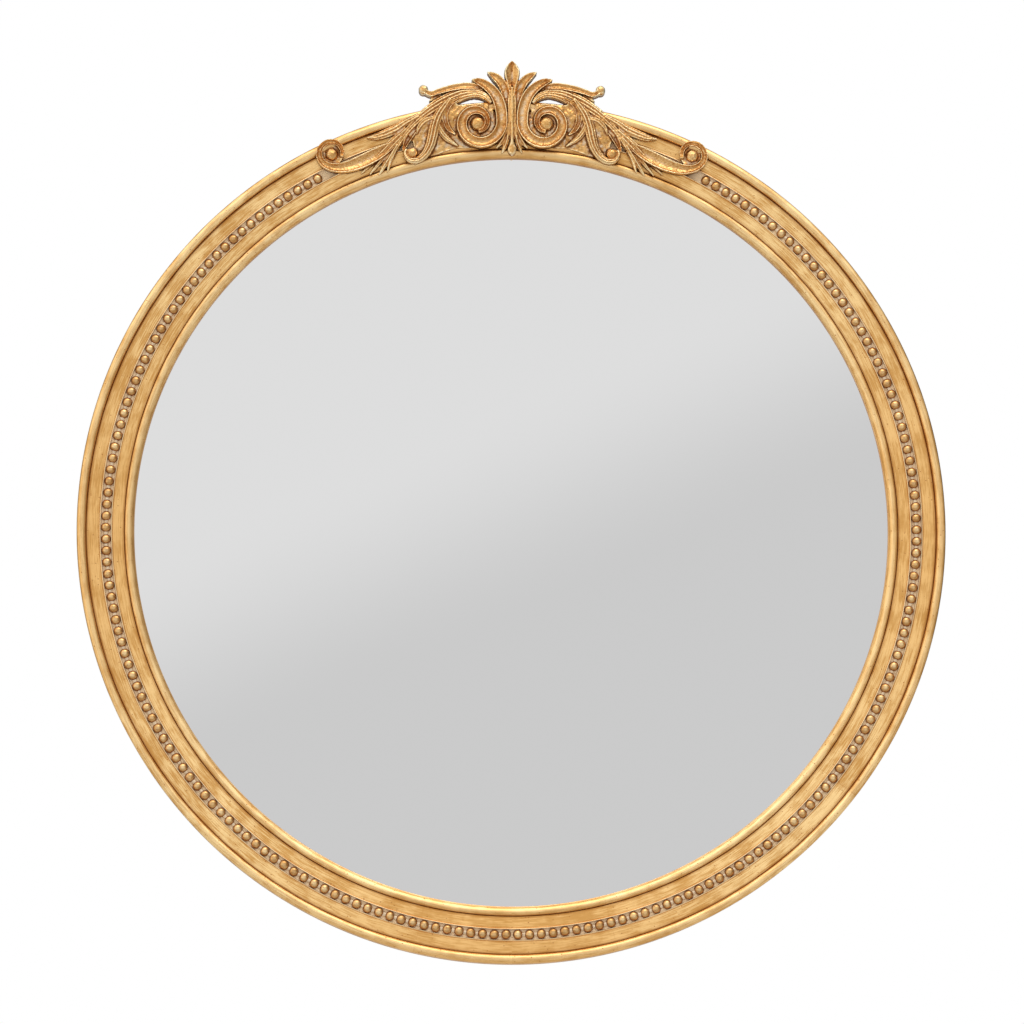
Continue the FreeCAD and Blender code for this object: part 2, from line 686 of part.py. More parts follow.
def volute_pieces(side):
    """The C-scroll beside the palmette: a hollow band that winds in to its eye over a low ground."""
    lead = [(34, 20.5, 0.4), (27.5, 18.0, 3.4), (20.0, 12.6, 4.6), (13.8, 4.2, 5.2), (10.2, -7, 5.4)]
    turn = size("volute_share") * GRID_ALONG
    radii = [turn * share for share in (1.0, 0.77, 0.66, 0.52, 0.40, 0.33)]
    widths = (5.2, 4.7, 4.6, 3.8, 2.4, 1.5)
    band = strand(volute_stations(lead, radii, widths), (-0.5, 0.3), (-2.6, -1.6), side)
    eye = button(*VOLUTE_CENTRE, size("eye_share") * GRID_ALONG, 1.6, side)
    ground = button(*VOLUTE_CENTRE, 0.84 * turn, -4.6, side)
    return [band, eye, ground]


def top_scroll_pieces(side):
    arm = strand([(25, 12, 1.6), (35, 15.0, 3.2), (44.5, 15.6, 3.2), (54, 15.0, 3.0), (62.5, 13.8, 2.7),
                  (69.5, 12.8, 2.4), (75, 16.5, 2.0)], (-3.0, -3.0), (-1.5, -2.0), side)
    curl = strand([(62, 11.0, 1.2), (67.5, 9.2, 1.8), (72.5, 7.4, 0.4)], (-5.0, -6.0), (-4.0, -6.0), side)
    return [arm, curl, button(75.4, 18.0, 4.4, -1.5, side)]


def acanthus_pieces(side):
    stem = strand([(18.5, -1.5, 1.6), (22.5, 4.2, 3.0), (28, 7.6, 3.6), (34, 8.8, 3.9), (44, 8.4, 5.4),
                   (54.5, 5.4, 6.2), (65.5, 1.7, 6.0), (76.5, -3.0, 5.2), (86, -8.0, 4.4), (95.5, -13.8, 3.8),
                   (104.5, -20.6, 3.2), (112, -27.3, 2.7), (119.5, -35, 2.2), (127.5, -45.5, 0.4)],
                  (-1.2, -5.0), (1.4, -4.0), side)
    spray = strand([(84, -4.2, 2.4), (97, -7.4, 3.4), (107, -10.8, 4.2), (118, -12.2, 4.0),
                    (127, -12.2, 3.0), (135, -10.5, 0.4)], (-2.0, -4.0), (-3.8, -4.5), side)
    finger = [(98, -13.5, 2.2), (114, -20.6, 2.8), (125.5, -26.4, 2.8), (138.5, -32.6, 2.4),
              (152.5, -38.5, 0.4)]
    second = [(104, -19, 2.2), (121.5, -28.6, 2.6), (132.5, -35, 2.4), (144.5, -42, 0.4)]
    third = [(110, -25, 2.0), (122, -34.5, 2.3), (129.5, -40, 2.1), (136.5, -45.5, 0.4)]
    shell = strand([(78, -6, 1.2), (86, -12.4, 2.4), (94.5, -18.8, 2.8), (101.5, -25.2, 2.4),
                    (106.5, -31.5, 0.8)], (-3.2, -4.4), (-5.0, -6.0), side)
    fingers = [strand(row, (-3.0, -6.0), (-1.0, -5.5), side) for row in (finger, second, third)]
    return [stem, spray, shell] + fingers


def bud_scroll_pieces(side):
    stem = strand([(54, 6, 2.0), (60, 0.0, 3.6), (66.5, -7, 4.2), (71.8, -16, 4.6), (75.8, -25, 4.5),
                   (80.2, -33, 4.0), (86.6, -39.4, 3.4), (94.6, -42.8, 2.9), (102.4, -41, 2.5),
                   (105.4, -35, 1.8), (103, -31, 1.2)], (-1.2, -2.6), (0.6, -1.6), side)
    hanging = strand([(70, -9, 2.0), (79, -9.6, 3.6), (86, -14, 3.2), (90, -20, 0.4)],
                     (-1.6, -4.0), (-3.0, -4.0), side)
    filler = strand([(69, -12, 2.0), (67, -21, 3.2), (62, -29, 2.8), (53, -37, 0.4)],
                    (-2.0, -5.6), (-1.2, -5.0), side)
    hollow = strand([(45.5, 5.0, 1.6), (54, 1.6, 2.4), (59.6, -4.8, 2.8), (61.4, -13, 2.6),
                     (59.4, -21, 2.2), (54, -26.5, 0.6)], (-1.0, -4.0), (-0.1, -3.5), side)
    rim_edge = [(30, -1.0, -2.2), (47.5, -0.8, -2.2), (50, 3.5, -2.2), (60, 3.0, -2.2), (70, 0.0, -2.4),
                (80, -5.0, -2.8), (90, -11.0, -4.0), (98, -17.0, -5.0)]
    rim_foot = [(30, -9.5, -2.4), (44, -9.5, -2.4), (50, -9.5, -2.4), (58, -9.5, -2.6), (66, -10.0, -2.8),
                (76, -13.0, -3.4), (86, -20.0, -5.0), (95, -26.0, -5.8)]
    lip_edge = [(30, -39.0, -8.0), (44, -39.0, -8.0), (50, -38.5, -8.0), (58, -38.5, -8.0), (66, -39.5, -8.0),
                (76, -41.0, -8.0), (86, -41.0, -8.0), (95, -41.0, -8.0)]
    grounds = [web(rim_edge, rim_foot, side), web(rim_foot, lip_edge, side)]
    return [stem, hanging, filler, hollow, button(98.6, -35.4, 5.0, -0.8, side)] + grounds


def end_scroll_pieces(side):
    band = strand([(110, -23, 1.6), (121, -25.6, 4.4), (133, -27.8, 6.0), (148, -29.2, 6.2),
                   (162, -28.4, 5.2), (173, -24.8, 4.0), (180, -18.6, 3.2), (181.6, -10.5, 2.9),
                   (177, -3.4, 2.7), (169, -1.4, 2.6), (162, -5.4, 2.4), (160.2, -12.5, 2.0),
                   (163, -18.5, 1.4)], (-2.5, -0.6), (-4.8, -1.8), side)
    ground = button(170.4, -12.4, 10.0, -4.2, side)
    return [band, ground, button(170.4, -12.4, 5.8, 0.0, side)]


def make_crest():
    """Cast ornaments, glued to the ring and to each other; each is cut where a more prominent one passes."""
    bed = crest_bed()
    palmette = casting(palmette_pieces(), [bed])
    feature_from("crest_palmette", on_ring(palmette))
    for side, name in ((-1, "left"), (1, "right")):
        volute = casting(volute_pieces(side), [bed, palmette])
        top_scroll = casting(top_scroll_pieces(side), [bed, palmette, volute])
        acanthus = casting(acanthus_pieces(side), [bed, volute, top_scroll])
        bud_scroll = casting(bud_scroll_pieces(side), [bed, volute, acanthus])
        end_scroll = casting(end_scroll_pieces(side), [bed, acanthus])
        feature_from("volute_" + name, on_ring(volute))
        feature_from("top_scroll_" + name, on_ring(top_scroll))
        feature_from("acanthus_" + name, on_ring(acanthus))
        feature_from("bud_scroll_" + name, on_ring(bud_scroll))
        feature_from("end_scroll_" + name, on_ring(end_scroll))


def make_crest_screws():
    """Long screws from the ring's back into the palmette's foot and the eyes of the two volutes."""
    back = Vector(0, -size("stand_off"), 0)
    along, out = VOLUTE_CENTRE
    places = [on_rim(*place) + back for place in ((-along, out), (0, PALMETTE_SCREW), (along, out))]
    return screws_at("crest_screws", places, size("face_height + crest_screw_bite"))


# ---------------------------------------------------------------- assembly and export

make_frame_ring()
make_pearls("bead_string_left", -1)
make_pearls("bead_string_right", 1)
make_disc("mirror_glass", "glass_thickness", "rebate_depth - glass_thickness")
make_disc("packing_sheet", "packing_thickness", "rebate_depth - glass_thickness - packing_thickness")
make_disc("back_board", "board_thickness", BOARD_BACK)
make_clips()
make_clip_screws()
make_bumpers()
make_hangers()
make_crest()
make_crest_screws()
doc.recompute()

MASTERS = ("clip_master", "strap_master")
for item in doc.Objects:
    if "Invalid" in item.State or "Error" in item.State:
        raise RuntimeError("failed: " + item.Label)
PARTS = [item for item in doc.Objects if item.TypeId in ("PartDesign::Body", "Part::Feature")
         and item.Label not in MASTERS]
for item in PARTS:
    if item.Shape.isNull() or not item.Shape.isValid():
        raise RuntimeError("bad shape: " + item.Label)
os.makedirs("parts", exist_ok=True)
for item in PARTS:
    item.Shape.exportStep("parts/" + item.Label + ".step")
    print("%-20s solids %3d  volume %.1f" % (item.Label, len(item.Shape.Solids), item.Shape.Volume))
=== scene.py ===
import math

import bpy
import numpy as np
from bpy.props import FloatProperty, FloatVectorProperty, IntProperty, PointerProperty
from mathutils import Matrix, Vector


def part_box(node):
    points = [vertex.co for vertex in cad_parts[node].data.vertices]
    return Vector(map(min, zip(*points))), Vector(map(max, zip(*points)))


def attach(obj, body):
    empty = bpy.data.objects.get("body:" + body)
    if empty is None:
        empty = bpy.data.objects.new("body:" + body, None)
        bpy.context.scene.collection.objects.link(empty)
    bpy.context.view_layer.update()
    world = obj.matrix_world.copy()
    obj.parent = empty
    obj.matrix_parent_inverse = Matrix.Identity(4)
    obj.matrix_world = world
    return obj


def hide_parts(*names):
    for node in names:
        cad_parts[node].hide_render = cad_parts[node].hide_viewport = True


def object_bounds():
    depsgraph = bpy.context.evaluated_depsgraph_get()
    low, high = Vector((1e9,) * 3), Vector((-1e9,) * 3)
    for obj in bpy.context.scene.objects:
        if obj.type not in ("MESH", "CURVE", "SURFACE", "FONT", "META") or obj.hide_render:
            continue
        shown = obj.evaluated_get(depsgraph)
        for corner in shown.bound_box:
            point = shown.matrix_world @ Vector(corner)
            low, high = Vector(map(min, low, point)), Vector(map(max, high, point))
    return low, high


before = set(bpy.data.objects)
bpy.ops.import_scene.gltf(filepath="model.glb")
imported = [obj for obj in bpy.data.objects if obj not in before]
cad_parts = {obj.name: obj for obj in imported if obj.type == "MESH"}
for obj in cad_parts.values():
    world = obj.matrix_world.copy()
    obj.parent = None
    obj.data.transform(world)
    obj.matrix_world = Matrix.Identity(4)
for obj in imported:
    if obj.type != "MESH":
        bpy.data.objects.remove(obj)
CAD_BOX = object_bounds()

bl_info = {
    "name": "Round Gilt Mirror",
    "version": (1, 0, 0),
    "blender": (4, 5, 0),
    "location": "View3D > Sidebar > Mirror",
    "description": "Beaded, gilt wall mirror with a leaf-and-scroll crest, built piece by piece",
    "category": "Add Mesh",
}

MM = 0.001
STAND_OFF = 6.0 * MM        # the ring's back off the wall
CHANNEL_DEPTH = 1.8 * MM    # the bead channel's floor below the face
SHELF = 8.0 * MM            # ledge behind the lip that the glass lies on
BOARD_BACK = 3.0 * MM       # the backboard inside the ring's back
STRAP_LENGTH = 44.0 * MM    # below the hinge line
STRAP_HOLES = (24.0 * MM, 37.0 * MM)
HINGE_GAP = 0.1 * MM        # a D-ring's bar in its strap
D_RING_DROP = 17.0 * MM     # hinge line to the lowest point of the wire's middle
D_RING_LEAN = 4.5           # degrees that a hanging D-ring stands off its strap
BUMPER_INSET = 12.0 * MM    # bumper middles from the ring's edge
PLATE_SCREW = 9.0 * MM
CREST_SCREW = 23.2 * MM
CREST_SCREW_PLACES = ((-32.0, -19.0), (0.0, -14.0), (32.0, -19.0))
PICTURE = 1024              # pixels across and down
SENSOR = 36.0               # camera sensor width in mm
FRAMING = (0.76, 20.05)     # pixels that the lens is shifted across and up


# ---------------------------------------------------------------- settings

def measure(name, description, default):
    return FloatProperty(name=name, description=description, unit="LENGTH", default=default)


def tint(name, description, default):
    return FloatVectorProperty(name=name, description=description, subtype="COLOR", size=4, min=0, max=1,
                               default=default)


class MouldingSettings(bpy.types.PropertyGroup):
    """Section of the turned ring; heights are in front of its flat back."""
    radius: measure("Ring radius", "Outer radius of the ring", round(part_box("frame_ring")[1].z, 4))
    rim_width: measure("Rim width", "Half-round along the outer edge", 7.8 * MM)
    outer_field: measure("Outer field", "Band between rim and beads", 12.0 * MM)
    fillet: measure("Ridge", "Sharp ridge on each side of the beads", 0.9 * MM)
    channel: measure("Channel", "Channel that the beads lie in", 9.4 * MM)
    inner_field: measure("Inner field", "Band between beads and lip", 10.6 * MM)
    lip_width: measure("Lip width", "Half-round round the glass", 8.4 * MM)
    face: measure("Face height", "Outer field at the bead channel", 18.2 * MM)
    rebate: measure("Rebate depth", "Depth of the glass rebate", 11.5 * MM)
    segments: IntProperty(name="Segments", description="Steps round the ring", default=900, min=64)


class BeadSettings(bpy.types.PropertyGroup):
    """The strings of pearls in the channel."""
    radius: measure("Bead radius", "Radius of one bead", 4.5 * MM)
    height: measure("Bead height", "Bead above its channel", 4.3 * MM)
    pitch: measure("Pitch", "Bead to bead along the channel", 10.25 * MM)
    start: measure("Start", "First bead, along the rim from the top", 188.0 * MM)
    seed: IntProperty(name="Seed", description="Draw of the small differences from bead to bead", default=7)


class CrestSettings(bpy.types.PropertyGroup):
    """The cast ornaments at the top."""
    back: measure("Back", "Back of the castings above the ring's back", 12.0 * MM)
    relief: measure("Relief", "Main relief of the castings", 27.0 * MM)
    grain: measure("Surface step", "Size of the surface's facets", 0.45 * MM)
    roughening: measure("Gesso roughness", "Height of the lumps in the gesso", 0.16 * MM)


class GildingSettings(bpy.types.PropertyGroup):
    """Colours of the gilding, as they render under plain light."""
    leaf: tint("Leaf", "Gold leaf on open fields", (0.88, 0.53, 0.20, 1.0))
    deep: tint("Deep leaf", "Toned leaf in the streaks", (0.66, 0.345, 0.10, 1.0))
    # Rubbed leaf: burnished leaf and a painted highlight on ridges
    rubbed_and_highlight: tint("Rubbed leaf", "Burnished leaf on ridges", (1.0, 0.80, 0.46, 1.0))
    # Hollows: a brown wash and painted shade in grooves and recesses
    hollow: tint("Hollows", "Brown wash left in grooves", (0.38, 0.118, 0.006, 1.0))
    gesso: tint("Gesso", "Chalky ground that shows through", (0.92, 0.76, 0.54, 1.0))


class HardwareSettings(bpy.types.PropertyGroup):
    """Fittings on the back."""
    sheet: measure("Sheet", "Sheet of clips and straps", 1.2 * MM)
    wire: measure("Wire", "Radius of the D-rings' wire", 1.5 * MM)
    strap_width: measure("Strap width", "Width of the strap hangers", 14.0 * MM)
    hinge_x: measure("Hinge across", "Hinge lines from the middle",
                     round((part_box("d_ring_right")[0].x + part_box("d_ring_right")[1].x) / 2, 6))
    hinge_z: measure("Hinge height", "Hinge lines above the middle",
                     round(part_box("hanger_straps")[0].z + STRAP_LENGTH, 6))
    clip_width: measure("Clip width", "Width of the offset clips", 14.0 * MM)
    clip_foot: measure("Clip foot", "Length of a clip on the ring", 19.0 * MM)
    clip_tongue: measure("Clip tongue", "Length of a clip on the board", 14.0 * MM)
    clip_gap: measure("Clip gap", "Clip to rebate wall", 0.5 * MM)


class StageSettings(bpy.types.PropertyGroup):
    """Camera and floor."""
    azimuth: FloatProperty(name="Azimuth", description="Camera direction in degrees", default=-1.39)
    elevation: FloatProperty(name="Elevation", description="Camera direction in degrees", default=-7.33)
    distance: measure("Distance", "Camera from the mirror's centre", 4.5)
    focal: FloatProperty(name="Focal length", description="In pixels of the picture", default=5103.0)
    floor: measure("Floor", "Floor below the mirror's centre", -1.45)


# ---------------------------------------------------------------- meshes

def grid_quads(rows, columns, wrap_rows=False, wrap_columns=False):
    """Quads of a grid of points stored row by row."""
    row = np.arange(rows if wrap_rows else rows - 1)
    column = np.arange(columns if wrap_columns else columns - 1)
    r, c = (index.ravel() for index in np.meshgrid(row, column, indexing="ij"))
    next_r, next_c = (r + 1) % rows, (c + 1) % columns
    corners = [r * columns + c, r * columns + next_c, next_r * columns + next_c, next_r * columns + c]
    return np.stack(corners, 1)


def around(count):
    """Even turns round a circle, in radians."""
    return np.linspace(0, 2 * math.pi, count, endpoint=False)


def mesh_of(name, points, faces, sharp=None):
    """A mesh from an array of points and lists of faces, with smooth shading up to the sharp angle."""
    mesh = bpy.data.meshes.new(name)
    mesh.from_pydata(np.asarray(points, float).tolist(), [], [list(map(int, face)) for face in faces])
    mesh.validate()
    mesh.update()
    mesh.shade_smooth()
    if sharp is not None:
        mesh.set_sharp_from_angle(angle=math.radians(sharp))
    return mesh


def paint(mesh, **masks):
    """Stores masks with one number per point for the materials to read."""
    for name, values in masks.items():
        layer = mesh.attributes.new(name, "FLOAT", "POINT")
        layer.data.foreach_set("value", np.asarray(values, np.float32))


def place(name, mesh, replaced, body="root"):
    """Puts a mesh in the scene as a piece that rides on a body and stands for a node."""
    piece = bpy.data.objects.new(name, mesh)
    bpy.context.scene.collection.objects.link(piece)
    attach(piece, body)
    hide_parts(replaced)


def per_point(mesh, what):
    """Coordinates ("co") or normals ("normal") of a mesh's points."""
    values = np.empty(len(mesh.vertices) * 3)
    mesh.vertices.foreach_get(what, values)
    return values.reshape(-1, 3)


def blurred(field, sigma):
    """A height field softened by a Gaussian of sigma cells."""
    rows, columns = field.shape
    row_waves = np.exp(-2 * (math.pi * sigma * np.fft.fftfreq(rows)) ** 2)
    column_waves = np.exp(-2 * (math.pi * sigma * np.fft.rfftfreq(columns)) ** 2)
    return np.fft.irfft2(np.fft.rfft2(field) * row_waves[:, None] * column_waves[None, :], s=field.shape)


def bumps(points, size, seed):
    """Smooth lumps between about -1 and 1, from a few turned waves."""
    draw = np.random.default_rng(seed)
    total = np.zeros(len(points))
    for wave in range(10):
        direction = draw.normal(size=3)
        direction /= np.linalg.norm(direction)
        length = size * draw.uniform(0.6, 1.7)
        bend = np.sin(points @ np.roll(direction, 1) * 2 * math.pi / (2.3 * length) + draw.uniform(0, 6.28))
        total += np.sin(points @ direction * 2 * math.pi / length + 1.7 * bend + draw.uniform(0, 6.28))
    return total / 4.5


# ---------------------------------------------------------------- shader trees

class Wires:
    """Adds nodes to a tree. A value that is another node's output is linked, any other is set."""

    def __init__(self, tree):
        self.tree = tree

    def feed(self, socket, value):
        if isinstance(value, bpy.types.NodeSocket):
            self.tree.links.new(value, socket)
        else:
            socket.default_value = value

    def add(self, kind, inputs=(), **settings):
        """A new node's outputs; its inputs are keyed by number or by name."""
        made = self.tree.nodes.new("ShaderNode" + kind)
        for name, value in settings.items():
            setattr(made, name, value)
        for key, value in dict(inputs).items():
            self.feed(made.inputs[key], value)
        return made.outputs

    def maths(self, operation, *values, clamp=False):
        return self.add("Math", enumerate(values), operation=operation, use_clamp=clamp)[0]

    def times(self, first, second):
        return self.maths("MULTIPLY", first, second)

    def blend(self, factor, first, second):
        return self.add("Mix", {"Factor": factor, 6: first, 7: second}, data_type="RGBA")[2]

    def stretch(self, value, low, high, out_low=0.0, out_high=1.0):
        values = (value, low, high, out_low, out_high)
        return self.add("MapRange", enumerate(values), interpolation_type="SMOOTHSTEP")[0]

    def noise(self, vector, scale, detail=3.0, roughness=0.55):
        inputs = {"Vector": vector, "Scale": scale, "Detail": detail, "Roughness": roughness}
        return self.add("TexNoise", inputs)["Fac"]

    def painted(self, name):
        return self.add("Attribute", attribute_name=name)["Fac"]

    def coordinates(self):
        """Places on the piece itself, so that a finish stays on it as it moves."""
        return self.add("TexCoord")["Object"]

    def split(self, vector):
        return self.add("SeparateXYZ", {0: vector})

    def group(self, name, **values):
        """One of the shared groups, with this material's own values."""
        group = bpy.data.node_groups.get(name) or SHARED_GROUPS[name](name)
        inputs = {label.replace("_", " "): value for label, value in values.items()}
        return self.add("Group", inputs, node_tree=group)


class Finish(Wires):
    """A material with one Principled shader."""

    def __init__(self, name):
        self.material = bpy.data.materials.new(name)
        self.material.use_nodes = True
        super().__init__(self.material.node_tree)
        self.tree.nodes.clear()
        self.shader = self.tree.nodes.new("ShaderNodeBsdfPrincipled")
        self.add("OutputMaterial", {0: self.shader.outputs[0]})

    def give(self, **values):
        """Sets or links sockets of the shader."""
        for label, value in values.items():
            self.feed(self.shader.inputs[label.replace("_", " ")], value)

    def bump(self, height, distance, strength):
        inputs = {"Strength": strength, "Distance": distance, "Height": height}
        self.give(Normal=self.add("Bump", inputs)[0])


def new_group(name, inputs, outputs):
    """An empty shader group: its wires, what it is given and what it puts out."""
    group = bpy.data.node_groups.new(name, "ShaderNodeTree")
    for label, value in inputs.items():
        kind = "NodeSocketColor" if isinstance(value, tuple) else "NodeSocketFloat"
        group.interface.new_socket(name=label, in_out="INPUT", socket_type=kind).default_value = value
    for label in outputs:
        kind = "NodeSocketColor" if label == "Color" else "NodeSocketFloat"
        group.interface.new_socket(name=label, in_out="OUTPUT", socket_type=kind)
    return Wires(group), group.nodes.new("NodeGroupInput").outputs, group.nodes.new("NodeGroupOutput").inputs


def make_ring_grain(name):
    """Streaks that run round the ring, as a brush and burnisher leave them, and Round, a painted sheen that
    is 1 at the ring's diagonals and 0 at its top, bottom and sides.
    """
    w, given, result = new_group(name, {"Across": 900.0, "Along": 26.0}, ("Streaks", "Cloud", "Round"))
    x, y, z = w.split(w.coordinates())
    radius = w.maths("SQRT", w.maths("ADD", w.times(x, x), w.times(z, z)))
    turn = w.maths("ARCTAN2", x, z)
    unrolled = w.add("CombineXYZ", enumerate((w.times(radius, given["Across"]), w.times(turn, given["Along"]),
                                              w.times(y, given["Across"]))))[0]
    w.feed(result["Streaks"], w.noise(unrolled, 1.0, 4.0, 0.6))
    w.feed(result["Cloud"], w.noise(w.coordinates(), 34.0, 4.0, 0.62))
    # Round: painted sheen, the leaf drawn lighter in four sectors at the ring's diagonals
    w.feed(result["Round"], w.maths("MULTIPLY_ADD", w.maths("COSINE", w.times(turn, 4.0)), -0.5, 0.5))
    return w.tree


def make_specks(name):
    """Small scattered spots: chips, pinholes and dust in the gilding."""
    w, given, result = new_group(name, {"Scale": 500.0, "Amount": 0.2}, ("Mask",))
    cells = w.add("TexVoronoi", {"Vector": w.coordinates(), "Scale": given["Scale"]})
    spot = w.stretch(cells["Distance"], 0.30, 0.12)
    chosen = w.maths("LESS_THAN", w.add("SeparateColor", {0: cells["Color"]})[0], given["Amount"])
    w.feed(result["Mask"], w.times(spot, chosen))
    return w.tree


def make_antique(name):
    """Colour, metal and roughness of worn gilding from its masks: a brown wash with painted shade in the
    hollows, painted shade in the crevices, and burnished leaf with a painted highlight on the ridges.
    """
    w, g, result = new_group(
        name,
        {"Leaf": (0.8, 0.5, 0.2, 1), "Deep leaf": (0.6, 0.3, 0.1, 1), "Rubbed": (1, 0.8, 0.4, 1),
         "Hollow": (0.2, 0.07, 0.02, 1), "Gesso": (0.7, 0.6, 0.4, 1), "Streaks": 0.5, "Cloud": 0.5,
         "Hollow mask": 0.0, "Ridge mask": 0.0, "Gesso mask": 0.0, "Crevice mask": 0.0, "Specks": 0.0,
         "Base roughness": 0.4},
        ("Color", "Metallic", "Roughness", "Height"))
    toned = w.maths("MULTIPLY_ADD", g["Streaks"], 0.75, w.times(g["Cloud"], 0.6))
    colour = w.blend(w.stretch(toned, 0.80, 0.54), g["Leaf"], g["Deep leaf"])
    rubbing = w.stretch(g["Cloud"], 0.25, 0.6, 0.45, 1.0)
    ridge = w.maths("MULTIPLY", g["Ridge mask"], rubbing, clamp=True)
    # ridges take the Rubbed colour: burnished leaf and a painted highlight
    colour = w.blend(ridge, colour, g["Rubbed"])
    # hollows take the Hollow colour: a brown wash and painted shade
    wash = w.stretch(g["Streaks"], 0.2, 0.75, 1.0, 0.72)
    colour = w.blend(w.maths("MULTIPLY", g["Hollow mask"], wash, clamp=True), colour, g["Hollow"])
    colour = w.blend(g["Gesso mask"], colour, g["Gesso"])
    # painted shade: crevices darkened towards near black
    colour = w.blend(w.times(g["Crevice mask"], 0.75), colour, (0.09, 0.033, 0.010, 1))
    dark = w.times(g["Specks"], 0.75)
    w.feed(result["Color"], w.blend(dark, colour, g["Hollow"]))
    dull = w.maths("MAXIMUM", w.times(g["Hollow mask"], 0.2), g["Gesso mask"])
    dull = w.maths("MAXIMUM", dull, dark)
    w.feed(result["Metallic"], w.maths("SUBTRACT", 1.0, dull, clamp=True))
    rough = w.maths("MULTIPLY_ADD", g["Cloud"], 0.18, g["Base roughness"])
    rough = w.maths("MULTIPLY_ADD", dull, 0.25, rough)
    w.feed(result["Roughness"], w.maths("MULTIPLY_ADD", ridge, -0.12, rough, clamp=True))
    height = w.maths("MULTIPLY_ADD", g["Streaks"], 0.5, w.times(g["Cloud"], 0.6))
    w.feed(result["Height"], w.maths("MULTIPLY_ADD", g["Specks"], -0.5, height))
    return w.tree


SHARED_GROUPS = {"Ring grain": make_ring_grain, "Specks": make_specks, "Antique gilding": make_antique}


# ---------------------------------------------------------------- gilding and wood

BROWNED = {"leaf": (0.61, 0.345, 0.13, 1), "deep": (0.43, 0.205, 0.06, 1), "hollow": (0.42, 0.20, 0.09, 1)}
# gains of the painted sheen: how much lighter the leaf is drawn at the ring's diagonals
SHEEN_LEAF_GAINS = (1.12, 1.3, 1.6, 1.0)
# turn of the ring in degrees, half width in radians, strength
LEAF_LAPS = ((128.0, 0.0022, 0.35), (144.0, 0.0016, 0.18), (166.0, 0.0016, 0.2), (-167.0, 0.0016, 0.18),
             (-58.0, 0.0016, 0.2), (-95.0, 0.0016, 0.16))


def gilding(name, roughness, across, along, specks, browned=0.0, laps=False):
    """Worn gold leaf: toned and streaky on the fields, burnished with a painted highlight on ridges, a brown
    wash with painted shade in the hollows, and a painted sheen that lightens it at the ring's diagonals.
    """
    colours = bpy.context.scene.mirror_gilding
    leaf, deep, hollow_tone = ([a + (b - a) * browned for a, b in zip(getattr(colours, key), brown)]
                               for key, brown in BROWNED.items())
    finish = Finish(name)
    grain = finish.group("Ring grain", Across=across, Along=along)
    spots = finish.group("Specks", Scale=420.0, Amount=specks)
    hollow = finish.painted("hollow")
    if laps:
        hollow = finish.maths("MAXIMUM", hollow, leaf_laps(finish))
    # painted sheen: the leaf is lightened at the ring's diagonals, less so on browned leaf
    sheen_leaf = [min(1.0, value * gain) for value, gain in zip(leaf, SHEEN_LEAF_GAINS)]
    leaf = finish.blend(finish.times(grain["Round"], 1.0 - browned), leaf, sheen_leaf)
    worn = finish.group("Antique gilding", Leaf=leaf, Deep_leaf=deep, Rubbed=colours.rubbed_and_highlight,
                        Hollow=hollow_tone, Gesso=colours.gesso, Streaks=grain["Streaks"],
                        Cloud=grain["Cloud"], Hollow_mask=hollow, Ridge_mask=finish.painted("ridge"),
                        Gesso_mask=finish.painted("gesso"), Crevice_mask=finish.painted("crevice"),
                        Specks=spots["Mask"], Base_roughness=roughness)
    finish.give(Base_Color=worn["Color"], Metallic=worn["Metallic"], Roughness=worn["Roughness"])
    finish.bump(worn["Height"], 0.00025, 0.6)
    return finish.material


def leaf_laps(w):
    """Faint lines across the moulding where the leaves of gold overlap."""
    x, y, z = w.split(w.coordinates())
    turn = w.maths("ARCTAN2", x, z)
    total = 0.0
    for degrees, width, strength in LEAF_LAPS:
        near = w.maths("ABSOLUTE", w.maths("SUBTRACT", turn, math.radians(degrees)))
        total = w.maths("ADD", w.stretch(near, width, 0.0, 0.0, strength), total)
    return total


def bare_wood():
    """The unseen back: turned wood under a thin ochre wash."""
    finish = Finish("bole_washed_wood")
    grain = finish.group("Ring grain", Across=500.0, Along=9.0)
    colour = finish.blend(finish.stretch(grain["Streaks"], 0.3, 0.7), (0.36, 0.22, 0.11, 1),
                          (0.50, 0.33, 0.17, 1))
    wash = finish.stretch(grain["Cloud"], 0.55, 0.8, 0.0, 0.6)
    finish.give(Base_Color=finish.blend(wash, colour, (0.58, 0.40, 0.17, 1)),
                Roughness=finish.stretch(grain["Cloud"], 0.2, 0.8, 0.55, 0.75))
    finish.bump(grain["Streaks"], 0.0002, 0.5)
    return finish.material


# ---------------------------------------------------------------- moulded ring

def ring_lines(m):
    """Radii at which the moulding's members meet, from the rim in to the glass."""
    rim_in = m.radius - m.rim_width
    field_in = rim_in - m.outer_field
    channel_out = field_in - m.fillet
    channel_in = channel_out - m.channel
    inner_out = channel_in - m.fillet
    lip_out = inner_out - m.inner_field
    return rim_in, field_in, channel_out, channel_in, inner_out, lip_out, lip_out - m.lip_width


def leg(start, end, steps, crown=0.0, power=1.0):
    """Rows from a start, left out, to an end: straight, or a half-round with its middle raised by crown."""
    rows = []
    for step in range(1, steps + 1):
        share, rise = step / steps, 0.0
        if crown:
            rise = crown * math.sin(math.pi * share) ** power
            share = (1 - math.cos(math.pi * share)) / 2
        rows.append((start[0] + (end[0] - start[0]) * share, start[1] + (end[1] - start[1]) * share + rise))
    return rows


